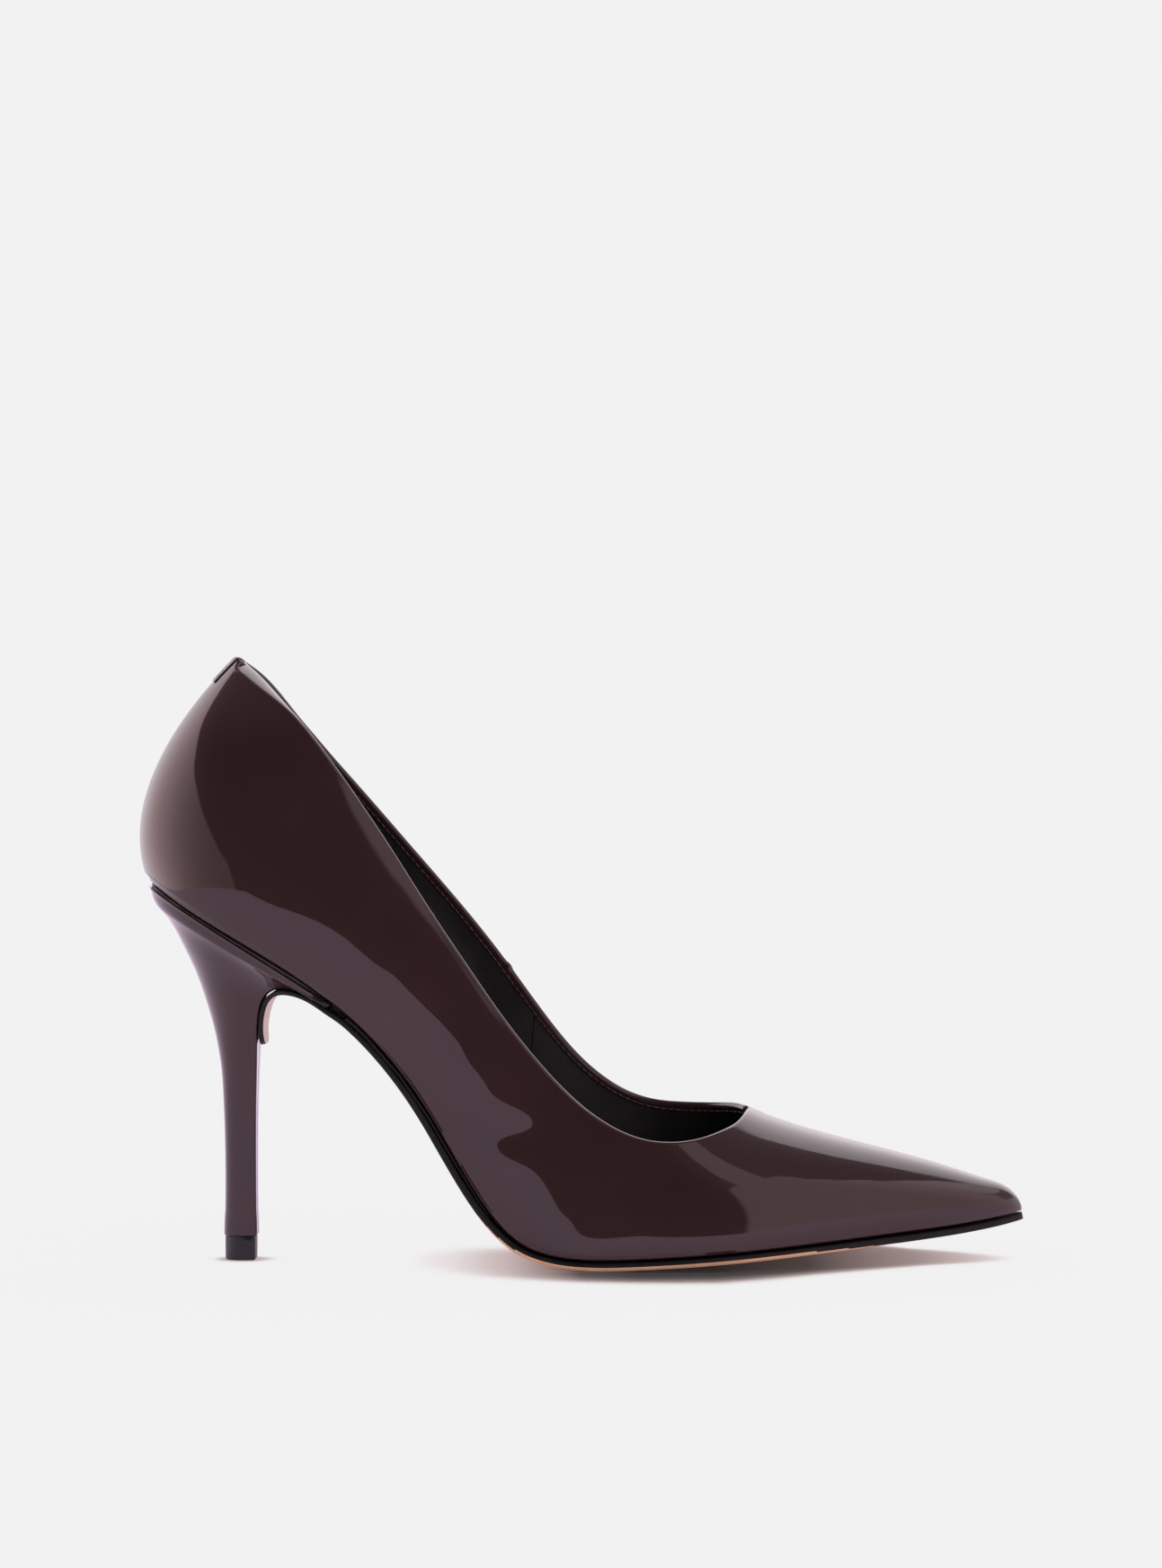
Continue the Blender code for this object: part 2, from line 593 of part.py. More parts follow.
def make_outsole(mat):
    lx, ly = inset_outline(LAT, 0.25)
    mx, my = inset_outline(MED, 0.25)
    stop = min(lx[-1], mx[-1])
    x = layer_stations(-62.0, stop)[::-1]
    top = on_bed(x, 0 * x, -np.interp(x, SOLE_DROP_X, SOLE_DROP))
    wl, wm = np.interp(x, lx, ly), np.interp(x, mx, my)
    wl[0] = wm[0] = 0
    k = np.arange(len(FLAP), dtype=float)
    kk = np.linspace(0, k[-1], 14)
    fx, fz = Spline(k, [p[0] for p in FLAP])(kk), Spline(k, [p[1] for p in FLAP])(kk)
    fw = Spline(k, FLAP_HALF)(kk)
    px, pz = np.concatenate([top[:, 0], fx]), np.concatenate([top[:, 2], fz])
    wl, wm = np.concatenate([wl, fw]), np.concatenate([wm, fw])
    dx, dz = np.gradient(px), np.gradient(pz)
    length = np.hypot(dx, dz)
    nx, nz = -dz / length, dx / length
    f = np.array([0, 0.2, 0.5, 0.8, 1])
    y = -wl[:, None] + (wl + wm)[:, None] * f[None, :]
    on_sole = np.clip((px + 66) / 30, 0, 1)[:, None]
    crown = 4 * f[None, :] * (1 - f[None, :]) * np.minimum(1, wl / 8)[:, None]
    thick = FLAP_T + on_sole * (SOLE_EDGE_T - FLAP_T + SOLE_BULGE * crown)
    zero = np.zeros_like(y)
    upper = np.stack([px[:, None] + zero, y, pz[:, None] + zero], -1)
    lower = np.stack([px[:, None] + thick * nx[:, None], y, pz[:, None] + thick * nz[:, None]], -1)
    lower[..., 2] = np.maximum(lower[..., 2], 0)
    return slab_object("outsole", upper, lower, mat)


# ----------------------------------------------------------------------- heel
def heel_profile(levels, inset):
    """Half sections of the heel from the back line round to the breast corner."""
    k = np.arange(len(HEEL_HALF), dtype=float)

    def col(table, i):
        return Spline(k, [p[i] for p in table])(levels)

    bx, bz = col(HEEL_BACK, 0), col(HEEL_BACK, 1)
    ax, az = col(HEEL_BREAST, 0), col(HEEL_BREAST, 1)
    half = Spline(k, HEEL_HALF)(levels) - inset
    uc = Spline(k, HEEL_ROUND)(levels)[:, None]
    span = np.hypot(ax - bx, az - bz)
    s0 = (inset / span)[:, None]
    th = np.linspace(0, math.pi / 2, 6)
    u = uc * (1 - np.cos(th))[None, :]
    y = half[:, None] * np.sin(th)[None, :] ** 0.92
    g = np.array([0.5, 1])
    u = np.concatenate([u, uc + (1 - uc) * g[None, :]], 1)
    y = np.concatenate([y, half[:, None] * (1 - 0.06 * g[None, :] ** 2)], 1)
    u = s0 + u * (1 - 2 * s0)
    x = bx[:, None] + u * (ax - bx)[:, None]
    z = bz[:, None] + u * (az - bz)[:, None]
    return x, y, z


def mirrored_solid(name, x, y, z, mat):
    """Closed body from half sections; the flat front and both ends are faced across."""
    bm = bmesh.new()
    lat = add_grid(bm, np.stack([x, -y, z], -1))
    med = add_grid(bm, np.stack([x, y, z], -1))
    strip(bm, [r[-1] for r in lat], [r[-1] for r in med])
    strip(bm, lat[0], med[0])
    strip(bm, lat[-1], med[-1])
    return finish(name, bm, mat)


def make_heel(plastic, patent):
    levels = np.array([0, 0.5, 1, 1.6, 2.3, 3, 3.7, 4.4, 5.2, 6, 7, 8, 9.2, 11, 13])
    x, y, z = heel_profile(levels, COVER_T + GAP)
    seat = on_bed(x[0], y[0], -SEAT_DROP)
    x = np.concatenate([seat[None, :, 0], x])
    y = np.concatenate([y[:1], y])
    z = np.concatenate([seat[None, :, 2], z])
    core = mirrored_solid("heel_core", x, y, z, plastic)
    # the cover wraps the back and sides and is trimmed at the breast corners
    levels[0] = 0.02
    loops = []
    for inset in (0.0, COVER_T):
        x, y, z = heel_profile(levels, inset)
        half = np.stack([x, y, z], -1)
        other = half[:, ::-1] * [1, -1, 1]
        loops.append(np.concatenate([other[:, :-1], half], 1))
    slab_object("heel_cover", loops[0], loops[1], patent)
    return core


# ---------------------------------------------------------- round small parts
def ring_points(cx, cy, z, r):
    a = np.linspace(0, 2 * math.pi, RING, endpoint=False)
    return np.stack([cx + r * np.cos(a), cy + r * np.sin(a), np.full(RING, z)], 1)


def turned(name, cx, cy, profile, mat):
    """Solid of revolution about a vertical axis from (z, radius) pairs."""
    rings = np.stack([ring_points(cx, cy, z, r) for z, r in profile])
    return tube_object(name, rings, mat, False)


def tube(name, cx, cy, z0, z1, r_out, r_in, mat):
    rings = [ring_points(cx, cy, z, r) for z, r in ((z0, r_out), (z1, r_out), (z1, r_in), (z0, r_in))]
    return tube_object(name, np.stack(rings), mat, True)


def bore(obj, cx, cy, z0, z1, r, mat):
    """Drill a vertical round hole."""
    cutter = turned("cut_" + obj.name + "_" + str(len(obj.modifiers)), cx, cy, ((z0, r), (z1, r)), mat)
    cutter.hide_render = True
    cutter.display_type = "WIRE"
    mod = obj.modifiers.new("hole", "BOOLEAN")
    mod.operation = "DIFFERENCE"
    mod.solver = "EXACT"
    mod.object = cutter


def make_heel_hardware(core, steel, rubber, cut):
    bore(core, TIP_X, 0, 0, DOWEL_HI + 1, DOWEL_HOLE_R, cut)
    tube("heel_dowel", TIP_X, 0, DOWEL_LO, DOWEL_HI, DOWEL_R, DOWEL_BORE_R, steel)
    th = np.linspace(0, math.pi / 2, 6)
    mid = (TOP_PIECE_BACK + TOP_PIECE_BREAST) / 2
    reach = mid - TOP_PIECE_BACK
    rows = []
    for z, k in ((TOP_PIECE_H, 0), (0.5, 0), (0, 0.4)):
        px = np.concatenate([mid - (reach - k) * np.cos(th), [mid + reach * 0.5, mid + reach - k]])
        py = np.concatenate([(TOP_PIECE_HALF - k) * np.sin(th), [TOP_PIECE_HALF * 0.99 - k] * 2])
        rows.append((px, py, np.full(len(px), float(z))))
    x, y, z = (np.array([r[i] for r in rows]) for i in range(3))
    piece = mirrored_solid("top_piece", x, y, z, rubber)
    bore(piece, TIP_X, 0, PIN_LO - HOLE_CLEAR, TOP_PIECE_H + 1, PIN_HOLE_R, cut)
    turned("top_piece_pin", TIP_X, 0, ((PIN_LO, PIN_R), (PIN_HI, PIN_R)), steel)


def fixing(name, x, y, r, head_r, length, mat):
    seat = float(bed(x))
    profile = ((seat - length, r), (seat + HEAD_LO, r), (seat + HEAD_LO, head_r), (seat + HEAD_HI, head_r))
    return turned(name, x, y, profile, mat)


def make_fixings(core, steel, cut):
    board = bpy.data.objects["insole_board"]
    shank = bpy.data.objects["steel_shank"]
    for i, (x, y) in enumerate(NAIL_SPOTS):
        seat = float(bed(x))
        fixing("heel_nail_" + str(i + 1), x, y, NAIL_R, NAIL_HEAD_R, NAIL_L, steel)
        bore(core, x, y, seat - NAIL_L - HOLE_CLEAR, seat + 9, NAIL_R + HOLE_CLEAR, cut)
        bore(board, x, y, seat - 5, seat + 9, NAIL_HEAD_R + HOLE_CLEAR, cut)
    seat = float(bed(SCREW_X))
    fixing("heel_screw", SCREW_X, 0, SCREW_R, SCREW_HEAD_R, SCREW_L, steel)
    bore(core, SCREW_X, 0, seat - SCREW_L - HOLE_CLEAR, seat + 9, SCREW_R + HOLE_CLEAR, cut)
    bore(board, SCREW_X, 0, seat - 5, seat + 9, SCREW_HEAD_R + HOLE_CLEAR, cut)
    bore(shank, SCREW_X, 0, seat - 5, seat + 9, SCREW_HEAD_R + HOLE_CLEAR, cut)
    for name, x in zip(("shank_rivet_rear", "shank_rivet_front"), RIVET_X):
        seat = float(bed(x))
        rivet = turned(name, 0, 0, ((0.5, RIVET_R), (2.9, RIVET_R)), steel)
        z, nx, nz = bed_frame(x)
        tilt = math.atan2(nx, nz)
        rivet.location = (x * MM, 0, seat * MM)
        rivet.rotation_euler = (0, tilt, 0)
        for host in (board, shank):
            cutter = turned("cut_" + name + "_" + host.name, 0, 0, ((-3, RIVET_R + HOLE_CLEAR),
                                                                    (6, RIVET_R + HOLE_CLEAR)), cut)
            cutter.location = rivet.location
            cutter.rotation_euler = rivet.rotation_euler
            cutter.hide_render = True
            cutter.display_type = "WIRE"
            mod = host.modifiers.new("hole", "BOOLEAN")
            mod.operation = "DIFFERENCE"
            mod.solver = "EXACT"
            mod.object = cutter


def make_all():
    patent = material("patent_burgundy", (0.055, 0.018, 0.02), 0.08)
    kid = material("lining_kid", (0.012, 0.011, 0.012), 0.55)
    suede = material("heel_grip_suede", (0.02, 0.018, 0.018), 0.9)
    fibre = material("stiffener_fibre", (0.55, 0.48, 0.36), 0.8)
    board = material("insole_fibreboard", (0.45, 0.33, 0.2), 0.85)
    foam = material("sock_foam", (0.75, 0.72, 0.6), 0.9)
    cork = material("filler_cork", (0.42, 0.27, 0.15), 0.9)
    leather = material("outsole_leather", (0.62, 0.4, 0.28), 0.5)
    plastic = material("heel_plastic", (0.06, 0.06, 0.06), 0.5)
    rubber = material("top_piece_rubber", (0.02, 0.02, 0.022), 0.5)
    steel = material("steel", (0.6, 0.6, 0.62), 0.3, 1.0)
    cut = material("cutter", (0.8, 0.1, 0.1), 0.5)
    make_vamp(patent)
    make_medial_quarter(patent)
    make_back_tab(patent)
    make_linings(kid, suede)
    make_stiffeners(fibre)
    make_facing(patent)
    make_bottoms(board, foam, kid, cork, steel)
    make_waist_filler(kid)
    make_outsole(leather)
    core = make_heel(plastic, patent)
    make_heel_hardware(core, steel, rubber, cut)
    make_fixings(core, steel, cut)


for old in list(bpy.data.objects):
    bpy.data.objects.remove(old, do_unlink=True)
make_all()
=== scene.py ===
"""Looks for the high heel pump: fine surfaces, materials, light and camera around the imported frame.

Lengths in the tables are millimetres. +X is the toe, +Y the inner side of the foot, +Z up.
"""

import math

import bmesh
import bpy
import numpy as np
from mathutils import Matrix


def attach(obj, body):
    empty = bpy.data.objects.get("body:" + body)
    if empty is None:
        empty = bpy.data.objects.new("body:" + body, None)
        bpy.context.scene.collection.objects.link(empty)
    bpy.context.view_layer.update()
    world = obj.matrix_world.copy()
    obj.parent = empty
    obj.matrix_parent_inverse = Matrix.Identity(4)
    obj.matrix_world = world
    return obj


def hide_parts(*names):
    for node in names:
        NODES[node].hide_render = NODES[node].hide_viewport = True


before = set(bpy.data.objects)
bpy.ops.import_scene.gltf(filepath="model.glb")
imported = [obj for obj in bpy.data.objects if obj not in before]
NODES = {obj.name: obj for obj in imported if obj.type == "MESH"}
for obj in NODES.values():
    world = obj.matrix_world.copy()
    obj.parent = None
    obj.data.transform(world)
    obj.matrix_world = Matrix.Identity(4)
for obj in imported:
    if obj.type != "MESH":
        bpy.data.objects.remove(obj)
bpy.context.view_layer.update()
MM = 0.001

# ---- the last's shape
BED_X = [-116, -100, -80, -65, -50, -40, -32, -25, -18, -10, 0, 15, 35, 60, 85, 105, 118]
BED_Z = [101.8, 91.5, 79.6, 69.3, 54.6, 40.6, 26.8, 15.8, 8.1, 4.1, 2.7, 3.1, 4.5, 6.5, 8.7, 10.9, 13.2]
STN_X = [-115.8, -113, -106, -95, -80, -63, -45, -27, -8, 14, 36, 58, 78, 95, 107.5, 114.8, 117.7]
STN_LAT = [0, 9.8, 18.2, 23.3, 25.7, 25.5, 24.4, 24.2, 28.2, 33, 34.2, 28.2, 20.6, 13.8, 8.4, 4.1, 0]
STN_MED = [0, 9.8, 18, 22.8, 24.8, 24, 21, 18.6, 21.4, 28.6, 35, 34.8, 27.8, 19.1, 11, 4.7, 0]
CRN_X = [-66, -65, -63, -59, -53, -44, -32, -18, -1, 19, 38.5, 59, 79, 96, 108.2, 115.4, 117.7]
CRN_Z = [182, 180.5, 176, 167, 152, 134, 115, 95, 75, 58, 43.9, 35.5, 30.1, 25.4, 21.5, 17.9, 13.2]
SEC_RISE = [.33, .33, .33, .33, .34, .35, .36, .38, .40, .42, .44, .48, .50, .52, .55, .55, .55]
SEC_SWELL = [26, 23, 16, 11, 8.5, 7, 6.2, 5, .2, 1, 2.4, 4, 4.8, 4.4, 3, 1.2, 0]
SEC_DROP = [.27, .24, .18, .12, .07, .04, .02, 0, 0, 0, 0, 0, 0, 0, 0, 0, 0]
SEC_SPREAD = [18.6, 18.6, 19, 20.2, 22.2, 24.8, 26.8, 28, 27.6, 25, 21.2, 17.6, 14, 10.2, 6.3, 2.8, 0]
TOP_LAT_X = [-91.5, -84, -70.5, -58, -48.5, -39, -29.7, -20.3, -11, -1.5, 8, 17, 24, 31.4, 38, 41.5, 44.5]
TOP_LAT_Z = [160.8, 154.6, 140.1, 123, 108.8, 93.8, 79.9, 66.3, 54.5, 44.6, 37.8, 34.4, 33.8, 34.7, 36.8,
             38.5, 41.1]
TOP_MED_X = [-91.5, -84, -74.6, -60.2, -45.6, -31, -21.2, -11.4, -1.6, 8.2, 18, 27.8, 37.4, 42, 44.5]
TOP_MED_Z = [160.8, 155, 143.5, 126.7, 110, 93.1, 80.8, 67.3, 54.9, 46.4, 42, 41, 41.3, 41.5, 41.1]
VAMP_X = 44.5
DENTS = [(-17, 35.5, 9, 5, 0.42)]      # shallow dents in the outer side: x, z, length, height, depth
SEAM_MED_X = -26

# ---- the pieces
LEATHER_T = 1.0          # patent leather
ROLL_R = 1.05            # radius of the folded topline
FOLD_GAP = 0.05          # what the folded layers add to it
COLLAR_H = 6.0           # band along the topline that follows its curve
PAD_X = (-87.0, -71.0)   # the collar's padding fades between these
PAD_ARC = (4.4, 8.0)     # and starts this far round from the back seam
PAD_DROP, PAD_REACH = 3.2, 5.6   # size of the bevel over the padding
SEAM_GROOVE, SEAM_BUMP = 0.3, 0.45
FACING_H = 2.4           # how far the folded edge shows on the inside
LINING_IN, LINING_OUT = 1.85, 1.25
COUNTER_STEP = 1.35      # lining steps in over the counter and the toe puff
SOCK_HI, SOCK_LO = 5.8, 5.0
FEATHER_V = 0.02         # section position where the upper starts to turn under
EDGE_R = 1.3             # turn of the upper under the last
MARGIN_W = 9.0
TAB_HALF, TAB_LEN, TAB_T = 4.2, 9.4, 0.4
TAB_STITCH_IN = 1.35     # stitch line, in from the tab's edge
TAB_CHANNEL = 0.12

HEEL_BACK = [(-115.1, 98.2), (-113.4, 95.6), (-110.9, 92.6), (-108.4, 88.6), (-105.4, 82.6), (-102.8, 77),
             (-100.6, 71), (-98.9, 65.5), (-97.5, 60), (-96.1, 52), (-95.5, 44), (-95.1, 34), (-94.9, 20),
             (-95.1, 7.1)]
HEEL_BREAST = [(-66, 67.4), (-68.8, 69.4), (-72.6, 71.4), (-76.8, 72.7), (-81, 72.4), (-84, 69.6),
               (-85.3, 65), (-85.7, 60.5), (-85.9, 56), (-86.1, 50), (-86.3, 43), (-86.4, 34), (-86.4, 20),
               (-86.3, 7.1)]
HEEL_HALF = [25.0, 24.2, 23.0, 20.9, 18.0, 15.0, 12.4, 10.2, 8.4, 6.8, 5.8, 5.2, 4.7, 4.6]
HEEL_ROUND = [.70, .70, .69, .68, .66, .64, .62, .60, .58, .56, .55, .55, .55, .55]
FLAP = [(-66, 67.0), (-68.8, 68.9), (-72.4, 70.9), (-76.6, 72.1), (-80.6, 71.8), (-83.4, 69.2),
        (-84.7, 65), (-85, 61), (-84.6, 57.6)]
FLAP_HALF = [25.2, 24.0, 22.7, 20.6, 17.8, 14.8, 12.2, 10.3, 8.8]
FLAP_T = 1.3
SOLE_DROP_X = [-66, -58, -30, -10]
SOLE_DROP = [1.9, 1.3, 1.0, 0.5]
SOLE_EDGE_T, SOLE_BULGE = 1.9, 0.7
SOLE_REAR, SOLE_BALL_END = -62, 60
SOLE_STEPS = 190         # columns along the sole before it narrows to the toe
SOLE_BEND = 200          # the column after which the sole's line is eased into the flap
LAYER_CORNER, LAYER_R = 6.0, 0.4
TAN_FROM, TAN_TO = 43, 66      # faces round the section that keep the bare leather colour
HEEL_COLS = 30           # columns round the back of the heel
RIM_UP = 1.5             # the heel's lip stands this far up round the shoe
TOP_PIECE_BACK, TOP_PIECE_BREAST, TOP_PIECE_HALF = -94.9, -86.6, 4.4
TOP_PIECE_H = 6.5
# height and inset of each section of the top piece
TOP_PIECE_ROWS = [(TOP_PIECE_H, 0.5), (TOP_PIECE_H, 0.18), (TOP_PIECE_H - 0.12, 0.03), (5, 0), (2.5, 0.02),
                  (0.5, 0.06), (0.28, 0.1), (0.12, 0.2), (0.03, 0.36), (0, 0.55)]

# ---- camera
CAM_DIST, CAM_HEIGHT = 1.163, 0.1268
LENS, SENSOR = 100.0, 36.0

# ---- studio
TABLE_FRONT, TABLE_LEFT = 840.0, -500.0
# facing direction (degrees from the camera side, + to the right), top edge as height over distance
WALLS = {"left": (-120, 0.822), "right": (87, 1.75), "back": (160, 1.76)}
BOX_RISE = math.radians(54)
PAPER = 0.887
# the floor's own glow also carries the painted shadow under the shoe
GLOW = 0.93              # share of the floor's brightness that it gives by itself


class Spline:
    """Cubic spline; each end is 'flat' (no slope) or 'free' (no bend)."""

    def __init__(self, knots, values, start="free", end="free"):
        self.k = np.asarray(knots, float)
        self.v = np.asarray(values, float)
        n = len(self.k)
        h = np.diff(self.k)
        d = np.diff(self.v) / h
        a = np.zeros((n, n))
        r = np.zeros(n)
        for i in range(1, n - 1):
            a[i, i - 1], a[i, i], a[i, i + 1] = h[i - 1], 2 * (h[i - 1] + h[i]), h[i]
            r[i] = 6 * (d[i] - d[i - 1])
        a[0, 0] = a[-1, -1] = 1
        if start == "flat":
            a[0, 0], a[0, 1], r[0] = 2 * h[0], h[0], 6 * d[0]
        if end == "flat":
            a[-1, -1], a[-1, -2], r[-1] = 2 * h[-1], h[-1], -6 * d[-1]
        self.m = np.linalg.solve(a, r)

    def __call__(self, x):
        x = np.clip(np.asarray(x, float), self.k[0], self.k[-1])
        i = np.clip(np.searchsorted(self.k, x) - 1, 0, len(self.k) - 2)
        h = self.k[i + 1] - self.k[i]
        p, q = (self.k[i + 1] - x) / h, (x - self.k[i]) / h
        bend = ((p ** 3 - p) * self.m[i] + (q ** 3 - q) * self.m[i + 1]) * h * h / 6
        return p * self.v[i] + q * self.v[i + 1] + bend


def numbered(values, at):
    """Smooth curve through values numbered 0, 1, 2 and on; pairs give a row for each coordinate."""
    k = np.arange(len(values), dtype=float)
    if isinstance(values[0], tuple):
        return [Spline(k, column)(at) for column in zip(*values)]
    return Spline(k, values)(at)


def smooth(x, a, b):
    s = np.clip((np.asarray(x, float) - a) / (b - a), 0, 1)
    return s * s * (3 - 2 * s)


bed = Spline(BED_X, BED_Z)


def bed_frame(x):
    slope = (bed(x + 0.05) - bed(x - 0.05)) / 0.1
    length = np.sqrt(1 + slope ** 2)
    return bed(x), -slope / length, 1 / length


def on_bed(x, y, off):
    """Point at height off, square to the bed line."""
    z, nx, nz = bed_frame(np.asarray(x, float))
    return np.stack(np.broadcast_arrays(x + off * nx, y, z + off * nz), -1)


def unit(v):
    return v / np.maximum(np.linalg.norm(v, axis=-1, keepdims=True), 1e-12)


class Side:
    """One half of the last; sign -1 is the outer side, +1 the inner side."""

    def __init__(self, sign, widths, top_x, top_z):
        self.sign = sign
        fz = bed(np.array(STN_X))
        step = np.sqrt(np.diff(STN_X) ** 2 + np.diff(STN_LAT) ** 2 + np.diff(fz) ** 2)
        self.t = np.concatenate([[0], np.cumsum(step)]) / step.sum()
        self.fx = Spline(self.t, STN_X, "flat", "flat")
        self.fw = Spline(self.t, widths)
        self.ux = Spline(self.t, CRN_X, "flat", "flat")
        self.uz = Spline(self.t, CRN_Z, "flat", "free")
        self.rise = Spline(self.t, SEC_RISE, "flat")
        self.swell = Spline(self.t, SEC_SWELL, "flat")
        self.drop = Spline(self.t, SEC_DROP, "flat")
        self.spread = Spline(self.t, SEC_SPREAD, "flat")
        self.top = Spline(top_x, top_z)
        self.t_vamp = self.find(self.ux, VAMP_X)

    def find(self, curve, x):
        lo, hi = 0.0, 1.0
        for _ in range(50):
            mid = (lo + hi) / 2
            lo, hi = (mid, hi) if curve(mid) < x else (lo, mid)
        return (lo + hi) / 2

    def outward(self, t):
        """Unit normal of the feather line in plan."""
        e = 1e-3
        t = np.clip(t, e, 1 - e)
        dx = self.fx(t + e) - self.fx(t - e)
        dw = self.fw(t + e) - self.fw(t - e)
        length = np.hypot(dx, dw)
        return -dw / length, dx / length

    def point(self, t, v):
        """Outer skin of the shoe: t heel to toe, v feather line to crown."""
        t, v = np.broadcast_arrays(np.asarray(t, float), np.asarray(v, float))
        fx, fw, ux, uz = self.fx(t), self.fw(t), self.ux(t), self.uz(t)
        fz = bed(fx)
        nx, ny = self.outward(t)
        fade = np.minimum(1, (1 - t) / 0.02)
        a, c = self.rise(t), self.drop(t)
        swell, spread = self.swell(t) * fade, self.spread(t)
        ex, ez = ux - fx, uz - fz
        back = np.clip(1 - t / self.t[5], 0, 1) ** 2
        nx2 = nx * back
        ny2 = 1 - back + ny * back
        b0, b1, b2, b3 = (1 - v) ** 3, 3 * v * (1 - v) ** 2, 3 * v * v * (1 - v), v ** 3
        x = b0 * fx + b1 * (fx + a * ex + swell * nx) + b2 * (ux - c * ex + spread * nx2) + b3 * ux
        y = b0 * fw + b1 * (fw + swell * ny) + b2 * spread * ny2
        z = b0 * fz + b1 * (fz + a * ez) + b2 * (uz - c * ez) + b3 * uz
        for x0, z0, wide, tall, sunk in DENTS if self.sign < 0 else ():
            y = y - sunk * np.exp(-((x - x0) / wide) ** 2 - ((z - z0) / tall) ** 2)
        return np.stack([x, self.sign * y, z], -1)

    def tangents(self, t, v):
        e = 1e-3
        t0, t1 = np.clip(t - e, 0, 0.9985), np.clip(t + e, 0.0015, 1)
        v0, v1 = np.clip(v - e, 0, 1), np.clip(v + e, 0, 1)
        tt = np.minimum(t, 0.9985)
        dt = (self.point(t1, v) - self.point(t0, v)) / (t1 - t0)[..., None]
        dv = (self.point(tt, v1) - self.point(tt, v0)) / (v1 - v0)[..., None]
        return dt, dv

    def normal(self, t, v):
        dt, dv = self.tangents(t, v)
        return unit(np.cross(dt, dv) * -self.sign)

    def inside(self, t, v, depth):
        """Point a given depth inside the outer skin."""
        t, v, depth = np.broadcast_arrays(*(np.asarray(a, float) for a in (t, v, depth)))
        p = self.point(t, v) - self.normal(t, v) * depth[..., None]
        p[(v >= 1) | (t <= 0), 1] = 0
        return p

    def v_top(self, t):
        """Section position of the topline; 1 ahead of the throat."""
        v = np.linspace(0.05, 1, 200)
        p = self.point(t[:, None], v[None, :])
        k = np.argmax(p[..., 2] > self.top(p[..., 0]), axis=1)
        lo, hi = v[np.maximum(k - 1, 0)], v[k]
        for _ in range(30):
            mid = (lo + hi) / 2
            q = self.point(t, mid)
            over = q[:, 2] > self.top(q[:, 0])
            lo, hi = np.where(over, lo, mid), np.where(over, mid, hi)
        return np.where((t >= self.t_vamp - 1e-7) | (k == 0), 1.0, (lo + hi) / 2)

    def topline(self, count, extra=()):
        """Columns along the topline from the back to the throat."""
        q = np.linspace(0, 1, count)
        t = self.t_vamp * (0.32 * q + 0.68 * (1 - np.cos(math.pi * q)) / 2)
        t[-1] = self.t_vamp
        t = np.unique(np.concatenate([t, np.asarray(extra, float)]))
        v = self.v_top(t)
        p = self.point(t, v)
        p[0, 1] = p[-1, 1] = 0
        return Collar(self, t, v, p)

    def march(self, t, v, along, n, dist, pin=True):
        """Walk from the topline over the skin, square to it; dist is (rows, columns)."""
        rows = [(t.copy(), v.copy())]
        for h in np.diff(dist, axis=0):
            dt, dv = self.tangents(t, v)
            away = np.cross(n, along) * self.sign
            g11, g12, g22 = (dt * dt).sum(-1), (dt * dv).sum(-1), (dv * dv).sum(-1)
            r1, r2 = (dt * away).sum(-1), (dv * away).sum(-1)
            det = np.maximum(g11 * g22 - g12 ** 2, 1e-9)
            a, b = (r1 * g22 - r2 * g12) / det, (r2 * g11 - r1 * g12) / det
            t, v = np.clip(t + a * h, 0, 1), np.clip(v + b * h, 0, 1)
            t[0] = 0.0
            v[-1] = 1.0 if pin else v[-1]
            n = self.normal(t, v)
            rows.append((t.copy(), v.copy()))
        return rows


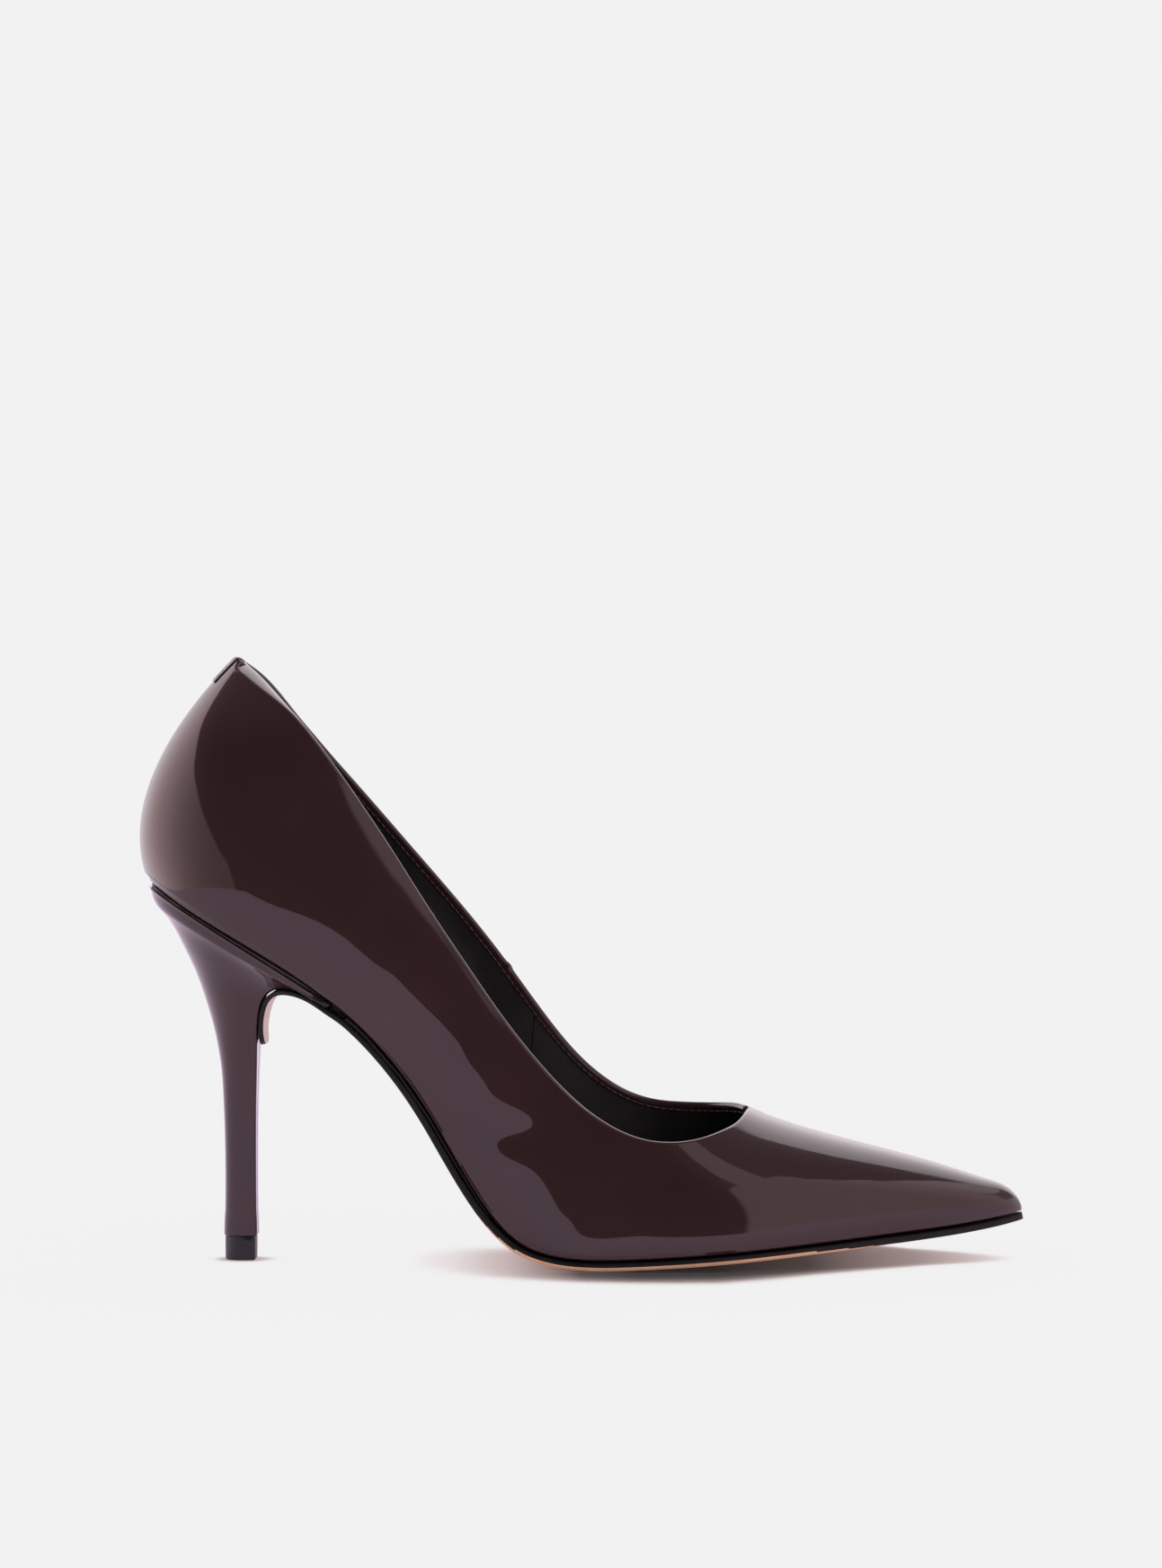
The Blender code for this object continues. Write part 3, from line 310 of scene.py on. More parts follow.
class Collar:
    """The folded topline: skin directions and roll sizes for each column along it."""

    def __init__(self, side, t, v, p):
        self.side, self.t, self.v, self.p = side, t, v, p
        along = unit(np.gradient(p, axis=0))
        along[0], along[-1] = [0, side.sign, 0], [0, -side.sign, 0]
        self.along = along
        self.arc = np.concatenate([[0], np.cumsum(np.linalg.norm(np.diff(p, axis=0), axis=1))])
        self.pad = smooth(self.arc, *PAD_ARC) * (1 - smooth(p[:, 0], *PAD_X))
        self.drop = ROLL_R + (PAD_DROP - ROLL_R) * self.pad
        self.reach = ROLL_R + (PAD_REACH - ROLL_R) * self.pad
        self.thick = self.reach + ROLL_R + FOLD_GAP
        n = side.normal(t, v)
        n[0, 1] = n[-1, 1] = 0
        self.aim(n)

    def aim(self, n):
        """Directions over the skin, away from the edge and into the shoe, from the skin's normals."""
        self.n = unit(n - self.along * (n * self.along).sum(-1, keepdims=True))
        self.away = np.cross(self.n, self.along) * self.side.sign
        deep = -self.n
        deep[:, [0, 2]] *= 1 - self.pad[:, None]
        self.deep = unit(deep)

    def place(self, away, deep):
        return self.p + self.away * np.asarray(away)[..., None] + self.deep * np.asarray(deep)[..., None]

    def fold(self):
        """Rows over the top, from the outside to the inside."""
        rows = []
        flat = 1 + 0.5 * self.pad      # the padded part is nearer a bevel than a round
        for a in np.linspace(0, math.pi / 2, 18)[1:]:
            out, up = 1 - math.sin(a) ** flat, 1 - max(math.cos(a), 0) ** flat
            rows.append(self.place(self.drop * out, self.reach * up))
        for a in np.linspace(0, math.pi / 2, 8)[1:]:
            rows.append(self.place(ROLL_R - ROLL_R * math.cos(a), self.reach + ROLL_R * math.sin(a)))
        return rows

    def rows_down(self, span):
        """Distances below the topline for the band that follows it."""
        f = np.array([0, 0.1, 0.26, 0.46, 0.7, 1])
        low = self.drop + (span - self.drop) * f[:, None]
        return np.concatenate([np.zeros((1, len(self.t))), low])

    def skin(self, span):
        return self.side.march(self.t, self.v, self.along, self.n, self.rows_down(span))


LAT = Side(-1, STN_LAT, TOP_LAT_X, TOP_LAT_Z)
MED = Side(+1, STN_MED, TOP_MED_X, TOP_MED_Z)
T_SEAM = MED.find(MED.fx, SEAM_MED_X)
NEAR_SEAM = np.array([0.35, 0.7, 1.2, 1.8, 2.6, 3.6, 5, 7]) * 1e-3
SEAM_COLS = T_SEAM + np.concatenate([-NEAR_SEAM[::-1], [0], NEAR_SEAM])


# ---- mesh helpers
def add_grid(bm, grid, wrap=False):
    rows, cols = grid.shape[:2]
    verts = [[bm.verts.new(grid[i, j] * MM) for j in range(cols)] for i in range(rows)]
    for i in range(rows - 1):
        for j in range(cols if wrap else cols - 1):
            k = (j + 1) % cols
            bm.faces.new((verts[i][j], verts[i + 1][j], verts[i + 1][k], verts[i][k]))
    return verts


def strip(bm, a, b):
    for i in range(len(a) - 1):
        bm.faces.new((a[i], a[i + 1], b[i + 1], b[i]))


def close_sides(bm, top, low):
    """Join the four sides of two grids that lie one over the other."""
    for at in (0, -1):
        strip(bm, top[at], low[at])
    for at in (0, -1):
        strip(bm, [r[at] for r in top], [r[at] for r in low])


def both_halves(g):
    """Closed body from the sections of one half and their mirror image."""
    bm = bmesh.new()
    lat, med = add_grid(bm, g * [1, -1, 1]), add_grid(bm, g)
    for at in (0, -1):
        strip(bm, lat[at], med[at])
    return bm


def place_mesh(name, bm):
    mesh = bpy.data.meshes.new(name)
    bm.to_mesh(mesh)
    bm.free()
    obj = bpy.data.objects.new(name, mesh)
    bpy.context.scene.collection.objects.link(obj)
    return obj


def finish_mesh(name, bm, mat, slot, *nodes, merge=1.5e-6):
    """Make the object, merge shared edges, face it outwards, and tie it to the frame."""
    bmesh.ops.remove_doubles(bm, verts=bm.verts, dist=merge)
    bmesh.ops.dissolve_degenerate(bm, edges=bm.edges, dist=1e-7)
    bmesh.ops.recalc_face_normals(bm, faces=bm.faces)
    obj = place_mesh(name, bm)
    mesh = obj.data
    mesh.polygons.foreach_set("use_smooth", [True] * len(mesh.polygons))
    mesh.materials.append(mat)
    mesh.set_sharp_from_angle(angle=math.radians(50))
    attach(obj, "root")
    if nodes:
        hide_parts(*nodes)
    return obj


# ---- materials
def add_node(nt, kind, inputs, **props):
    """New shader node; inputs go by name or number, and each is a value or a socket to link from."""
    n = nt.nodes.new("ShaderNode" + kind)
    for key, value in props.items():
        setattr(n, key, value)
    for key, value in inputs.items():
        if isinstance(value, bpy.types.NodeSocket):
            nt.links.new(value, n.inputs[key])
        else:
            n.inputs[key].default_value = value
    return n


class Value:
    """A number in a node tree; sums with it become math nodes."""

    def __init__(self, nt, socket):
        self.nt, self.socket = nt, socket

    def op(self, kind, other, swap=False):
        pair = [v.socket if isinstance(v, Value) else v for v in (self, other)]
        inputs = dict(enumerate(pair[::-1] if swap else pair))
        return Value(self.nt, add_node(self.nt, "Math", inputs, operation=kind).outputs[0])

    def __add__(self, other):
        return self.op("ADD", other)

    def __mul__(self, other):
        return self.op("MULTIPLY", other)

    def __sub__(self, other):
        return self.op("SUBTRACT", other)

    def __rsub__(self, other):
        return self.op("SUBTRACT", other, swap=True)

    def __truediv__(self, other):
        return self.op("DIVIDE", other)

    def __pow__(self, other):
        return self.op("POWER", other)

    __radd__, __rmul__ = __add__, __mul__

    def most(self, other):
        return self.op("MAXIMUM", other)

    def step(self, lo, hi):
        """0 below lo and 1 above hi, smooth in between."""
        inputs = {"From Min": lo, "From Max": hi, "Value": self.socket}
        ramp = add_node(self.nt, "MapRange", inputs, interpolation_type="SMOOTHSTEP")
        return Value(self.nt, ramp.outputs["Result"])


class Mat:
    """Small helper around a node tree with one Principled shader."""

    def __init__(self, name, rough=0.5, metal=0.0, **sockets):
        self.m = bpy.data.materials.new(name)
        self.m.use_nodes = True
        self.nt = self.m.node_tree
        self.sh = self.nt.nodes["Principled BSDF"]
        self.sh.inputs["Roughness"].default_value = rough
        self.sh.inputs["Metallic"].default_value = metal
        for key, value in sockets.items():
            self.sh.inputs[key.replace("_", " ")].default_value = value
        self.co = self.node("TexCoord", {}).outputs["Object"]

    def node(self, kind, inputs, **props):
        return add_node(self.nt, kind, inputs, **props)

    def link(self, a, b):
        self.nt.links.new(a, b)

    def noise(self, scale, detail=2.0, rough=0.5, co=None):
        inputs = {"Scale": scale, "Detail": detail, "Roughness": rough, "Vector": co or self.co}
        return self.node("TexNoise", inputs).outputs["Fac"]

    def voronoi(self, scale, feature="F1"):
        inputs = {"Scale": scale, "Vector": self.co}
        return self.node("TexVoronoi", inputs, feature=feature).outputs["Distance"]

    def stretch(self, x, y, z):
        return self.node("Mapping", {"Scale": (x, y, z), "Vector": self.co}).outputs["Vector"]

    def ramp(self, fac, stops):
        n = self.node("ValToRGB", {"Fac": fac})
        els = n.color_ramp.elements
        while len(els) < len(stops):
            els.new(0.5)
        for el, (pos, col) in zip(els, stops):
            el.position = pos
            el.color = (*col, 1)
        return n.outputs["Color"]

    def value(self, socket):
        return Value(self.nt, socket)

    def colour(self, out):
        self.link(out, self.sh.inputs["Base Color"])

    def roughness(self, fac, lo, hi):
        n = self.node("MapRange", {"To Min": lo, "To Max": hi, "Value": fac})
        self.link(n.outputs["Result"], self.sh.inputs["Roughness"])

    def bump(self, height, strength, dist, onto="Normal", after=None):
        n = self.node("Bump", {"Strength": strength, "Distance": dist, "Height": height})
        if after:
            self.link(after, n.inputs["Normal"])
        if onto:
            self.link(n.outputs["Normal"], self.sh.inputs[onto])
        return n.outputs["Normal"]


def grainy(name, rough, grain, *tones, spread=None, bump=None, metal=0.0, stretch=None, **sockets):
    """Material with one grain, a number for cells or else noise; tones are (position, colour) and spread
    is the range of roughness."""
    m = Mat(name, rough, metal, **sockets)
    if isinstance(grain, int):
        fac = m.voronoi(grain)
    else:
        fac = m.noise(*grain, co=m.stretch(*stretch) if stretch else None)
    m.colour(m.ramp(fac, tones))
    if spread:
        m.roughness(fac, *spread)
    if bump:
        m.bump(fac, *bump)
    return m.m


def patent_material():
    m = Mat("patent_leather", 0.34, Coat_Weight=1.0, Coat_Roughness=0.02, Coat_IOR=1.5,
            Specular_IOR_Level=0.12)
    tone = m.noise(38, 3)
    m.colour(m.ramp(tone, [(0.3, (0.0195, 0.0070, 0.0076)), (0.7, (0.0240, 0.0086, 0.0093))]))
    grain = m.voronoi(1500, "DISTANCE_TO_EDGE")
    m.bump(grain, 0.15, 0.0002)
    wave = m.noise(55, 1)
    m.bump(wave, 0.12, 0.0012, "Coat Normal")
    return m.m


def lining_material():
    m = Mat("lining_leather", 0.5, Specular_IOR_Level=0.45)
    tone = m.noise(60, 4)
    m.colour(m.ramp(tone, [(0.3, (0.011, 0.0088, 0.0105)), (0.7, (0.019, 0.0155, 0.0175))]))
    pores = m.voronoi(2400)
    fine = m.noise(900, 3)
    m.roughness(fine, 0.42, 0.6)
    first = m.bump(pores, 0.25, 0.00012, None)
    m.bump(fine, 0.15, 0.0002, "Normal", first)
    return m.m


def suede_material():
    return grainy("grip_suede", 0.9, (1400, 4, 0.7), (0.3, (0.008, 0.0072, 0.0076)),
                  (0.7, (0.020, 0.018, 0.0185)), bump=(0.5, 0.0003), Sheen_Weight=0.4, Sheen_Roughness=0.4,
                  Specular_IOR_Level=0.2)


def sole_material(name, *tones):
    """Waxed sole leather; the dyed edge is a material of its own."""
    m = Mat(name, 0.42, Coat_Weight=0.25, Coat_Roughness=0.25)
    fibre = m.noise(130, 5, 0.65, m.stretch(1, 2.2, 1))
    blot = m.noise(22, 2)
    mixed = m.value(fibre) * 0.6 + m.value(blot) * 0.4
    m.colour(m.ramp(mixed.socket, list(zip((0.32, 0.55, 0.75), tones))))
    pores = m.voronoi(1300)
    m.roughness(fibre, 0.36, 0.52)
    m.bump(pores, 0.2, 0.0002)
    return m.m


def edge_material():
    return grainy("dyed_edge", 0.5, (420, 4, 0.6), (0.3, (0.0025, 0.0022, 0.0027)),
                  (0.72, (0.0065, 0.006, 0.007)), spread=(0.42, 0.62), bump=(0.3, 0.0002),
                  Specular_IOR_Level=0.25)


def rubber_material():
    return grainy("top_piece_urethane", 0.38, (700, 3), (0.3, (0.006, 0.006, 0.0075)),
                  (0.7, (0.01, 0.01, 0.012)), spread=(0.3, 0.5), bump=(0.15, 0.0002), Specular_IOR_Level=0.5)


def thread_material(name, dark, light):
    return grainy(name, 0.5, (2600, 2), (0.3, dark), (0.7, light), bump=(0.5, 0.0001), Sheen_Weight=0.3)


# dark, not the board's real colour, so that it doesn't show as pale lines where it comes through
def board_material():
    return grainy("insole_board", 0.85, (700, 5, 0.8), (0.3, (0.02, 0.017, 0.015)),
                  (0.6, (0.032, 0.027, 0.024)), (0.8, (0.045, 0.038, 0.033)), bump=(0.4, 0.0003))


def cork_material():
    return grainy("cork", 0.85, 420, (0.1, (0.20, 0.11, 0.055)), (0.5, (0.42, 0.27, 0.15)),
                  (0.9, (0.55, 0.38, 0.23)), bump=(0.6, 0.0006))


def foam_material():
    return grainy("latex_foam", 0.9, 1600, (0.1, (0.52, 0.48, 0.36)), (0.6, (0.75, 0.72, 0.6)),
                  bump=(0.7, 0.0004))


# dark, not the real colour of the counter and toe puff, so that they don't show as pale lines where they come
# through
def stiffener_material():
    return grainy("stiffener", 0.8, (520, 5, 0.75), (0.3, (0.035, 0.031, 0.03)), (0.7, (0.06, 0.053, 0.05)),
                  bump=(0.5, 0.0003))


def plastic_material():
    return grainy("heel_plastic", 0.45, (500, 3), (0.3, (0.020, 0.018, 0.018)), (0.7, (0.032, 0.029, 0.029)),
                  spread=(0.38, 0.52), bump=(0.15, 0.0002))


def steel_material():
    return grainy("plain_steel", 0.32, (900, 3, 0.6), (0.3, (0.46, 0.46, 0.48)), (0.7, (0.64, 0.64, 0.66)),
                  spread=(0.24, 0.42), metal=1.0, stretch=(1, 1, 0.1))


PATENT = patent_material()
LINING = lining_material()
SUEDE = suede_material()
SOLE = sole_material("sole_leather", (0.50, 0.315, 0.225), (0.60, 0.405, 0.305), (0.66, 0.47, 0.36))
RAW = sole_material("sole_raw_edge", (0.46, 0.235, 0.135), (0.55, 0.29, 0.17), (0.60, 0.33, 0.20))
EDGE = edge_material()
RUBBER = rubber_material()
THREAD = thread_material("waxed_thread", (0.020, 0.0085, 0.009), (0.045, 0.020, 0.021))
THREAD_LIGHT = thread_material("edge_thread", (0.045, 0.028, 0.03), (0.10, 0.068, 0.072))


# ---- upper
def turn_under(side, t, level=0.0, inset=0.0):
    """Rows that roll the upper's edge under the last and run in as the lasting margin."""
    fx, fw = side.fx(t), side.fw(t)
    nx, ny = side.outward(t)
    reach = np.where(t < 0.5, MARGIN_W, np.minimum(MARGIN_W, 0.5 * fw))
    rows = []
    for d, up in ((0.1, 0.72), (0.36, 0.36), (0.72, 0.1), (EDGE_R, 0.0), (2.6, 0.0), (MARGIN_W, 0.0)):
        d = np.minimum(d + inset, reach)
        y = np.maximum(fw - d * ny, 0)
        y = np.where((t <= 0) | (t >= 1), 0, y)
        rows.append(on_bed(fx - d * nx, side.sign * y, level + up * EDGE_R))
    return np.stack(rows, 1)


def seam_relief(c, seam):
    """Groove and low shoulders along the closed side seam, by column."""
    s = c.arc - c.arc[seam]
    return SEAM_GROOVE * np.exp(-(s / 0.42) ** 2) - 0.1 * np.exp(-((np.abs(s) - 1.3) / 0.6) ** 2)


def upper_piece(sides, name, *nodes):
    """Outer skin with its folded topline, turned-under edge and inner face, in one closed body."""
    bm = bmesh.new()
    for side, part in sides:
        c = side.topline(240, SEAM_COLS if side is MED else ())
        cut = int(np.argmin(np.abs(c.t - T_SEAM)))
        relief = np.zeros(len(c.t))
        if side is MED:
            relief = seam_relief(c, cut)
            s = c.arc - c.arc[cut]
            c.p = c.p - c.away * (SEAM_BUMP * np.exp(-(s / 1.1) ** 2))[:, None]
        band = c.skin(COLLAR_H)
        outer_rows = [side.point(a, b) for a, b in band[:0:-1]]
        outer_rows = [r - side.normal(*band[-1 - i]) * relief[:, None] for i, r in enumerate(outer_rows)]
        fold = [r + c.deep * relief[:, None] * (1 - i / 20) for i, r in enumerate(c.fold())]
        d = c.thick
        inner = [c.place(2.0, d - 0.02), c.place(FACING_H, d), c.place(FACING_H + 0.12, d - 0.2),
                 c.place(FACING_H, d - 0.45), c.place(2.0, 1.2)]
        under = [side.inside(a, b, LEATHER_T) for a, b in band[2:]]
        sheet = np.stack(outer_rows + fold + inner + under, 1)
        for col in (0, -1):
            sheet[col, :, 1] = 0
        pick = {"all": slice(None), "front": slice(cut, None), "back": slice(0, cut + 1)}[part]
        sheet = sheet[pick]
        tt, vv, lift = band[-1][0][pick], band[-1][1][pick], relief[pick]
        if part != "back":
            q = np.linspace(0, 1, 90)[1:]
            tt = np.concatenate([tt, tt[-1] + (1 - tt[-1]) * (0.75 * q + 0.25 * q * q)])
            vv = np.concatenate([vv, np.ones(len(q))])
            lift = np.concatenate([lift, np.zeros(len(q))])
        q = np.linspace(0, 1, 54)
        w = 1 - (1 - q) ** 1.25
        grid_v = vv[:, None] + (FEATHER_V - vv)[:, None] * w[None, :]
        grid_t = np.broadcast_to(tt[:, None], grid_v.shape)
        skin = side.point(grid_t, grid_v) - side.normal(grid_t, grid_v) * lift[:, None, None]
        outer = np.concatenate([skin, turn_under(side, tt)], 1)
        wall = side.inside(grid_t, grid_v, LEATHER_T)
        inside = np.concatenate([wall, turn_under(side, tt, LEATHER_T, LEATHER_T)], 1)
        for g in (outer, inside):
            tip = tt >= 1
            g[tip] = g[tip][:, :1] * [1, 0, 1]
            g[vv >= 1, 0, 1] = 0
            g[tt <= 0, :, 1] = 0
        a, b = add_grid(bm, outer), add_grid(bm, inside)
        strip(bm, [r[-1] for r in a], [r[-1] for r in b])
        folded = add_grid(bm, sheet)
        if part == "all":
            continue
        at = 0 if part == "front" else -1
        strip(bm, a[at], b[at])
        rim = folded[at]
        last = len(rim) - 1
        for i in range(len(rim) // 2 - 1):
            bm.faces.new((rim[i], rim[i + 1], rim[last - i - 1], rim[last - i]))
    return finish_mesh(name, bm, PATENT, "patent_upper", *nodes)


def make_topline_stitches():
    """Fine stitching just inside the folded edge."""
    for side, tag in ((LAT, "outer"), (MED, "inner")):
        c = side.topline(220)
        path = c.place(1.75, c.thick + 0.02)
        stitch_row("topline_stitches_" + tag, path[4:], c.deep[4:], 1.7, 0.35, 0.11, THREAD_LIGHT)


def v_at_height(side, t, height, depth):
    """Section position where the inside of the wall reaches a height above the last's bottom."""
    v = np.linspace(0, 0.5, 160)
    p = side.inside(t[:, None], v[None, :], depth)
    z, nx, nz = bed_frame(np.clip(p[..., 0], BED_X[0], BED_X[-1]))
    k = np.argmax((p[..., 2] - z) * nz >= height, axis=1)
    return np.where(k == 0, 0.5, v[k])


def inner_depth(side, c, tt, gt, fall):
    """Depth of the lining's face: under the padded collar, and over the counter and toe puff."""
    x = side.fx(gt)
    back, front = 1 - smooth(x, -44, -28), smooth(x, 62, 78)
    thick = np.interp(tt, c.t, c.thick)
    collar = (thick[:, None] - 2 * ROLL_R - FOLD_GAP) * (1 - smooth(fall, 3, 17))
    return LINING_IN + collar + COUNTER_STEP * np.maximum(back * smooth(fall, 5, 16), front)


def lining_piece(name, node, t_start, t_end, mat, slot, start_h=1.7, extra=0.0, base_h=3.4):
    """Lining of both sides between two stations, as a thin closed body."""
    bm = bmesh.new()
    for side in (LAT, MED):
        c = side.topline(120)
        dist = np.linspace(0, start_h, 5)[:, None] + np.zeros(len(c.t))
        tt, vv = side.march(c.t, c.v, c.along, c.n, dist)[-1]
        if t_end > tt[-1]:
            ahead = tt[-1] + (t_end - tt[-1]) * np.linspace(0, 1, 46)[1:]
            tt, vv = np.concatenate([tt, ahead]), np.concatenate([vv, np.ones(len(ahead))])
        keep = (tt > t_start) & (tt < t_end)
        ends = np.array([t_start, t_end])
        vv = np.concatenate([vv[keep], np.interp(ends, tt, vv)])
        tt = np.concatenate([tt[keep], ends])
        order = np.argsort(tt)
        tt, vv = tt[order], vv[order]
        base = v_at_height(side, tt, base_h, 3.0)
        gv = vv[:, None] + (base - vv)[:, None] * np.linspace(0, 1, 44)[None, :]
        gt = np.broadcast_to(tt[:, None], gv.shape)
        pts = side.point(gt, gv)
        fall = np.linalg.norm(pts - pts[:, :1], axis=-1)
        fall[vv >= 1] = 30
        deep = inner_depth(side, c, tt, gt, fall) + extra
        to_end = fall.max(1)[:, None] - fall
        soft = 0.25 * extra * (np.exp(-(fall / 0.5) ** 2) + np.exp(-(to_end / 0.5) ** 2))
        inner = side.inside(gt, gv, deep - soft)
        outer = side.inside(gt, gv, deep - (LINING_IN - LINING_OUT))
        a, b = add_grid(bm, inner), add_grid(bm, outer)
        strip(bm, [r[-1] for r in a], [r[-1] for r in b])
        first = int(np.argmax(vv >= 1)) if (vv >= 1).any() else len(vv) - 1
        strip(bm, [r[0] for r in a[:first + 1]], [r[0] for r in b[:first + 1]])
        if t_start > 0:
            strip(bm, a[0], b[0])
        strip(bm, a[-1], b[-1])
    return finish_mesh(name, bm, mat, slot, node)


def grid_normals(g):
    return unit(np.cross(np.gradient(g, axis=0), np.gradient(g, axis=1)))


def slab_piece(name, base, thick, mat, slot, node):
    """Closed patch lying on a grid of points; thick is its height at each point."""
    n = grid_normals(base)
    bm = bmesh.new()
    top = add_grid(bm, base + n * thick[..., None])
    close_sides(bm, top, add_grid(bm, base - n * 0.05))
    return finish_mesh(name, bm, mat, slot, node)


def edge_taper(d, width):
    """0 at an edge, 1 from width inwards, round in between."""
    return np.sqrt(np.clip(1 - (1 - np.clip(d / width, 0, 1)) ** 2, 0, 1))


def tab_base():
    """Grid over the back of the topline: columns across, rows from outside to inside."""
    cols = []
    s = TAB_HALF * np.array([0, 0.15, 0.3, 0.46, 0.6, 0.72, 0.8, 0.86, 0.9, 0.93, 0.955, 0.975, 0.99, 1])
    f = np.sort(np.concatenate([np.linspace(0, 1, 14), [0.93, 0.955, 0.975, 0.987, 0.995]]))
    for side in (LAT, MED):
        dense = side.topline(400)
        t = np.interp(s, dense.arc, dense.t)
        v = side.v_top(t)
        p = side.point(t, v)
        p[0, 1] = 0
        c = Collar(side, t, v, p)
        c.along[-1] = unit(p[-1] - p[-2])
        n = side.normal(t, v)
        n[0, 1] = 0
        c.aim(n)
        dist = np.concatenate([np.zeros((1, len(t))), c.drop + (TAB_LEN - c.drop) * f[:, None]])
        band = [side.point(a, b) for a, b in side.march(t, v, c.along, c.n, dist, False)][:0:-1]
        inner = [c.place(k, c.thick + 0.02) for k in (1.6, 2.2, 2.9, 3.3, 3.6, 3.75, 3.8)]
        g = np.stack(band + c.fold() + inner, 1)
        g[0, :, 1] = 0
        cols.append(g)
    return np.concatenate([cols[0][::-1], cols[1][1:]]), np.concatenate([-s[::-1], s[1:]])


def make_back_tab():
    base, s = tab_base()
    if grid_normals(base)[len(s) // 2, 2, 0] > 0:
        base, s = base[::-1], s[::-1]
    run = np.concatenate([np.zeros((base.shape[0], 1)),
                          np.cumsum(np.linalg.norm(np.diff(base, axis=1), axis=2), axis=1)], 1)
    ends = np.minimum(run, run[:, -1:] - run)
    side_edge = TAB_HALF - np.abs(s)[:, None]
    thick = TAB_T * edge_taper(side_edge, 0.3) * edge_taper(ends, 0.3)
    # the stitch line lies in a shallow channel
    line = np.exp(-((side_edge - TAB_STITCH_IN) / 0.22) ** 2)
    thick = thick - TAB_CHANNEL * line * (ends > 1.2)
    slab_piece("back_tab_leather", base, thick, PATENT, "patent_upper", "back_tab")
    return base, s, run


def stitch_row(name, path, normals, length, gap, radius, mat):
    """Row of short domed stitches along a path."""
    step = np.concatenate([[0], np.cumsum(np.linalg.norm(np.diff(path, axis=0), axis=1))])
    count = int(step[-1] // (length + gap))
    bm = bmesh.new()
    for i in range(count):
        s0 = i * (length + gap)
        s = s0 + length * np.linspace(0, 1, 7)
        p = np.stack([np.interp(s, step, path[:, k]) for k in range(3)], 1)
        n = unit(np.stack([np.interp(s, step, normals[:, k]) for k in range(3)], 1))
        tan = unit(np.gradient(p, axis=0))
        b = np.cross(n, tan)
        lift = np.sin(math.pi * np.linspace(0, 1, 7))
        r = radius * (0.45 + 0.55 * lift)
        a = np.linspace(0, 2 * math.pi, 8, endpoint=False)
        ring = (p + n * (radius * (1.1 * lift - 0.5))[:, None])[:, None, :] + r[:, None, None] * (
            np.cos(a)[None, :, None] * b[:, None, :] + np.sin(a)[None, :, None] * n[:, None, :])
        verts = add_grid(bm, ring, wrap=True)
        bm.faces.new(verts[0])
        bm.faces.new(verts[-1])
    return finish_mesh(name, bm, mat, "patent_upper", merge=1e-7)


def make_tab_stitches(base, s, run):
    n = grid_normals(base)
    for sign, tag in ((-1, "outer"), (1, "inner")):
        at = sign * (TAB_HALF - TAB_STITCH_IN)
        k = int(np.argmin(np.abs(s - at)))
        keep = (run[k] > 1.4) & (run[k] < run[k, -1] - 1.2)
        path = base[k][keep] + n[k][keep] * (TAB_T - TAB_CHANNEL)
        stitch_row("tab_stitches_" + tag, path, n[k][keep], 1.0, 0.45, 0.1, THREAD)


# ---- bottom
def outline(side, inset, count=1200):
    """Plan outline moved inwards, as half width against x."""
    t = np.linspace(0, 1, count)
    nx, ny = side.outward(t)
    x, y = side.fx(t) - inset * nx, side.fw(t) - inset * ny
    y[0] = 0
    keep = (y >= 0) & np.concatenate([[True], np.diff(np.maximum.accumulate(x)) > 0])
    last = np.where(~keep & (t > 0.5))[0]
    if len(last):
        keep[last[0]:] = False
    return x[keep], y[keep]


def ease(start, stop, count):
    """Stations closer together at both ends."""
    return start + (stop - start) * (1 - np.cos(math.pi * np.linspace(0, 1, count))) / 2


def layer_piece(name, mat, slot, node, inset, lo, hi, front, crown=0.0):
    """Insole layer that follows the bed, with eased edges and a slight crown."""
    lx, ly = outline(LAT, inset)
    mx, my = outline(MED, inset)
    start = max(lx[0], mx[0])
    x = ease(start, front, 170)
    cut = LAYER_CORNER * (1 - edge_taper(front - x, LAYER_CORNER))
    wl, wm = np.interp(x, lx, ly) - cut, np.interp(x, mx, my) - cut
    wl[0] = wm[0] = 0
    f = ease(0, 1, 34)
    y = -wl[:, None] + (wl + wm)[:, None] * f[None, :]
    xx = np.broadcast_to(x[:, None], y.shape)
    edge = np.minimum(y + wl[:, None], wm[:, None] - y)
    edge = np.minimum(edge, np.minimum(xx - start, front - xx) * 1.5)
    top = hi + crown * np.sin(math.pi * f)[None, :] - LAYER_R * (1 - edge_taper(edge, LAYER_R * 2))
    bm = bmesh.new()
    a = add_grid(bm, on_bed(xx, y, top))
    close_sides(bm, a, add_grid(bm, on_bed(xx, y, np.full(y.shape, float(lo)))))
    return finish_mesh(name, bm, mat, slot, node)


def relax(values, first=1):
    """Blend each inner value with its neighbours, six times over."""
    for _ in range(6):
        values[first:-1] = (values[first - 1:-2] + values[first:-1] * 2 + values[first + 1:]) / 4


def sole_section(left, right, t, bevel, bulge):
    """Points round one section of the sole: place across, and depth below its top face."""
    th = np.linspace(0, math.pi / 2, 6)
    f = ease(0, 1, 30)
    r = min(0.75, 0.45 * t, 0.6 * (right - left))
    ry, rz = r + bevel, r + 0.3 * bevel
    y_low = left + ry + (right - left - 2 * ry) * f
    pts = [(left + r + (right - left - 2 * r) * g, 0.0) for g in f]
    pts += [(right - r + r * math.sin(a), r - r * math.cos(a)) for a in th[1:]]
    pts += [(right - ry + ry * math.cos(a), t - rz + rz * math.sin(a)) for a in th]
    pts += [(y, t + bulge * 4 * g * (1 - g)) for y, g in zip(y_low[::-1][1:-1], f[::-1][1:-1])]
    pts += [(left + ry - ry * math.sin(a), t - rz + rz * math.cos(a)) for a in th]
    pts += [(left + r - r * math.cos(a), r - r * math.sin(a)) for a in th[:-1]]
    return np.array(pts).T


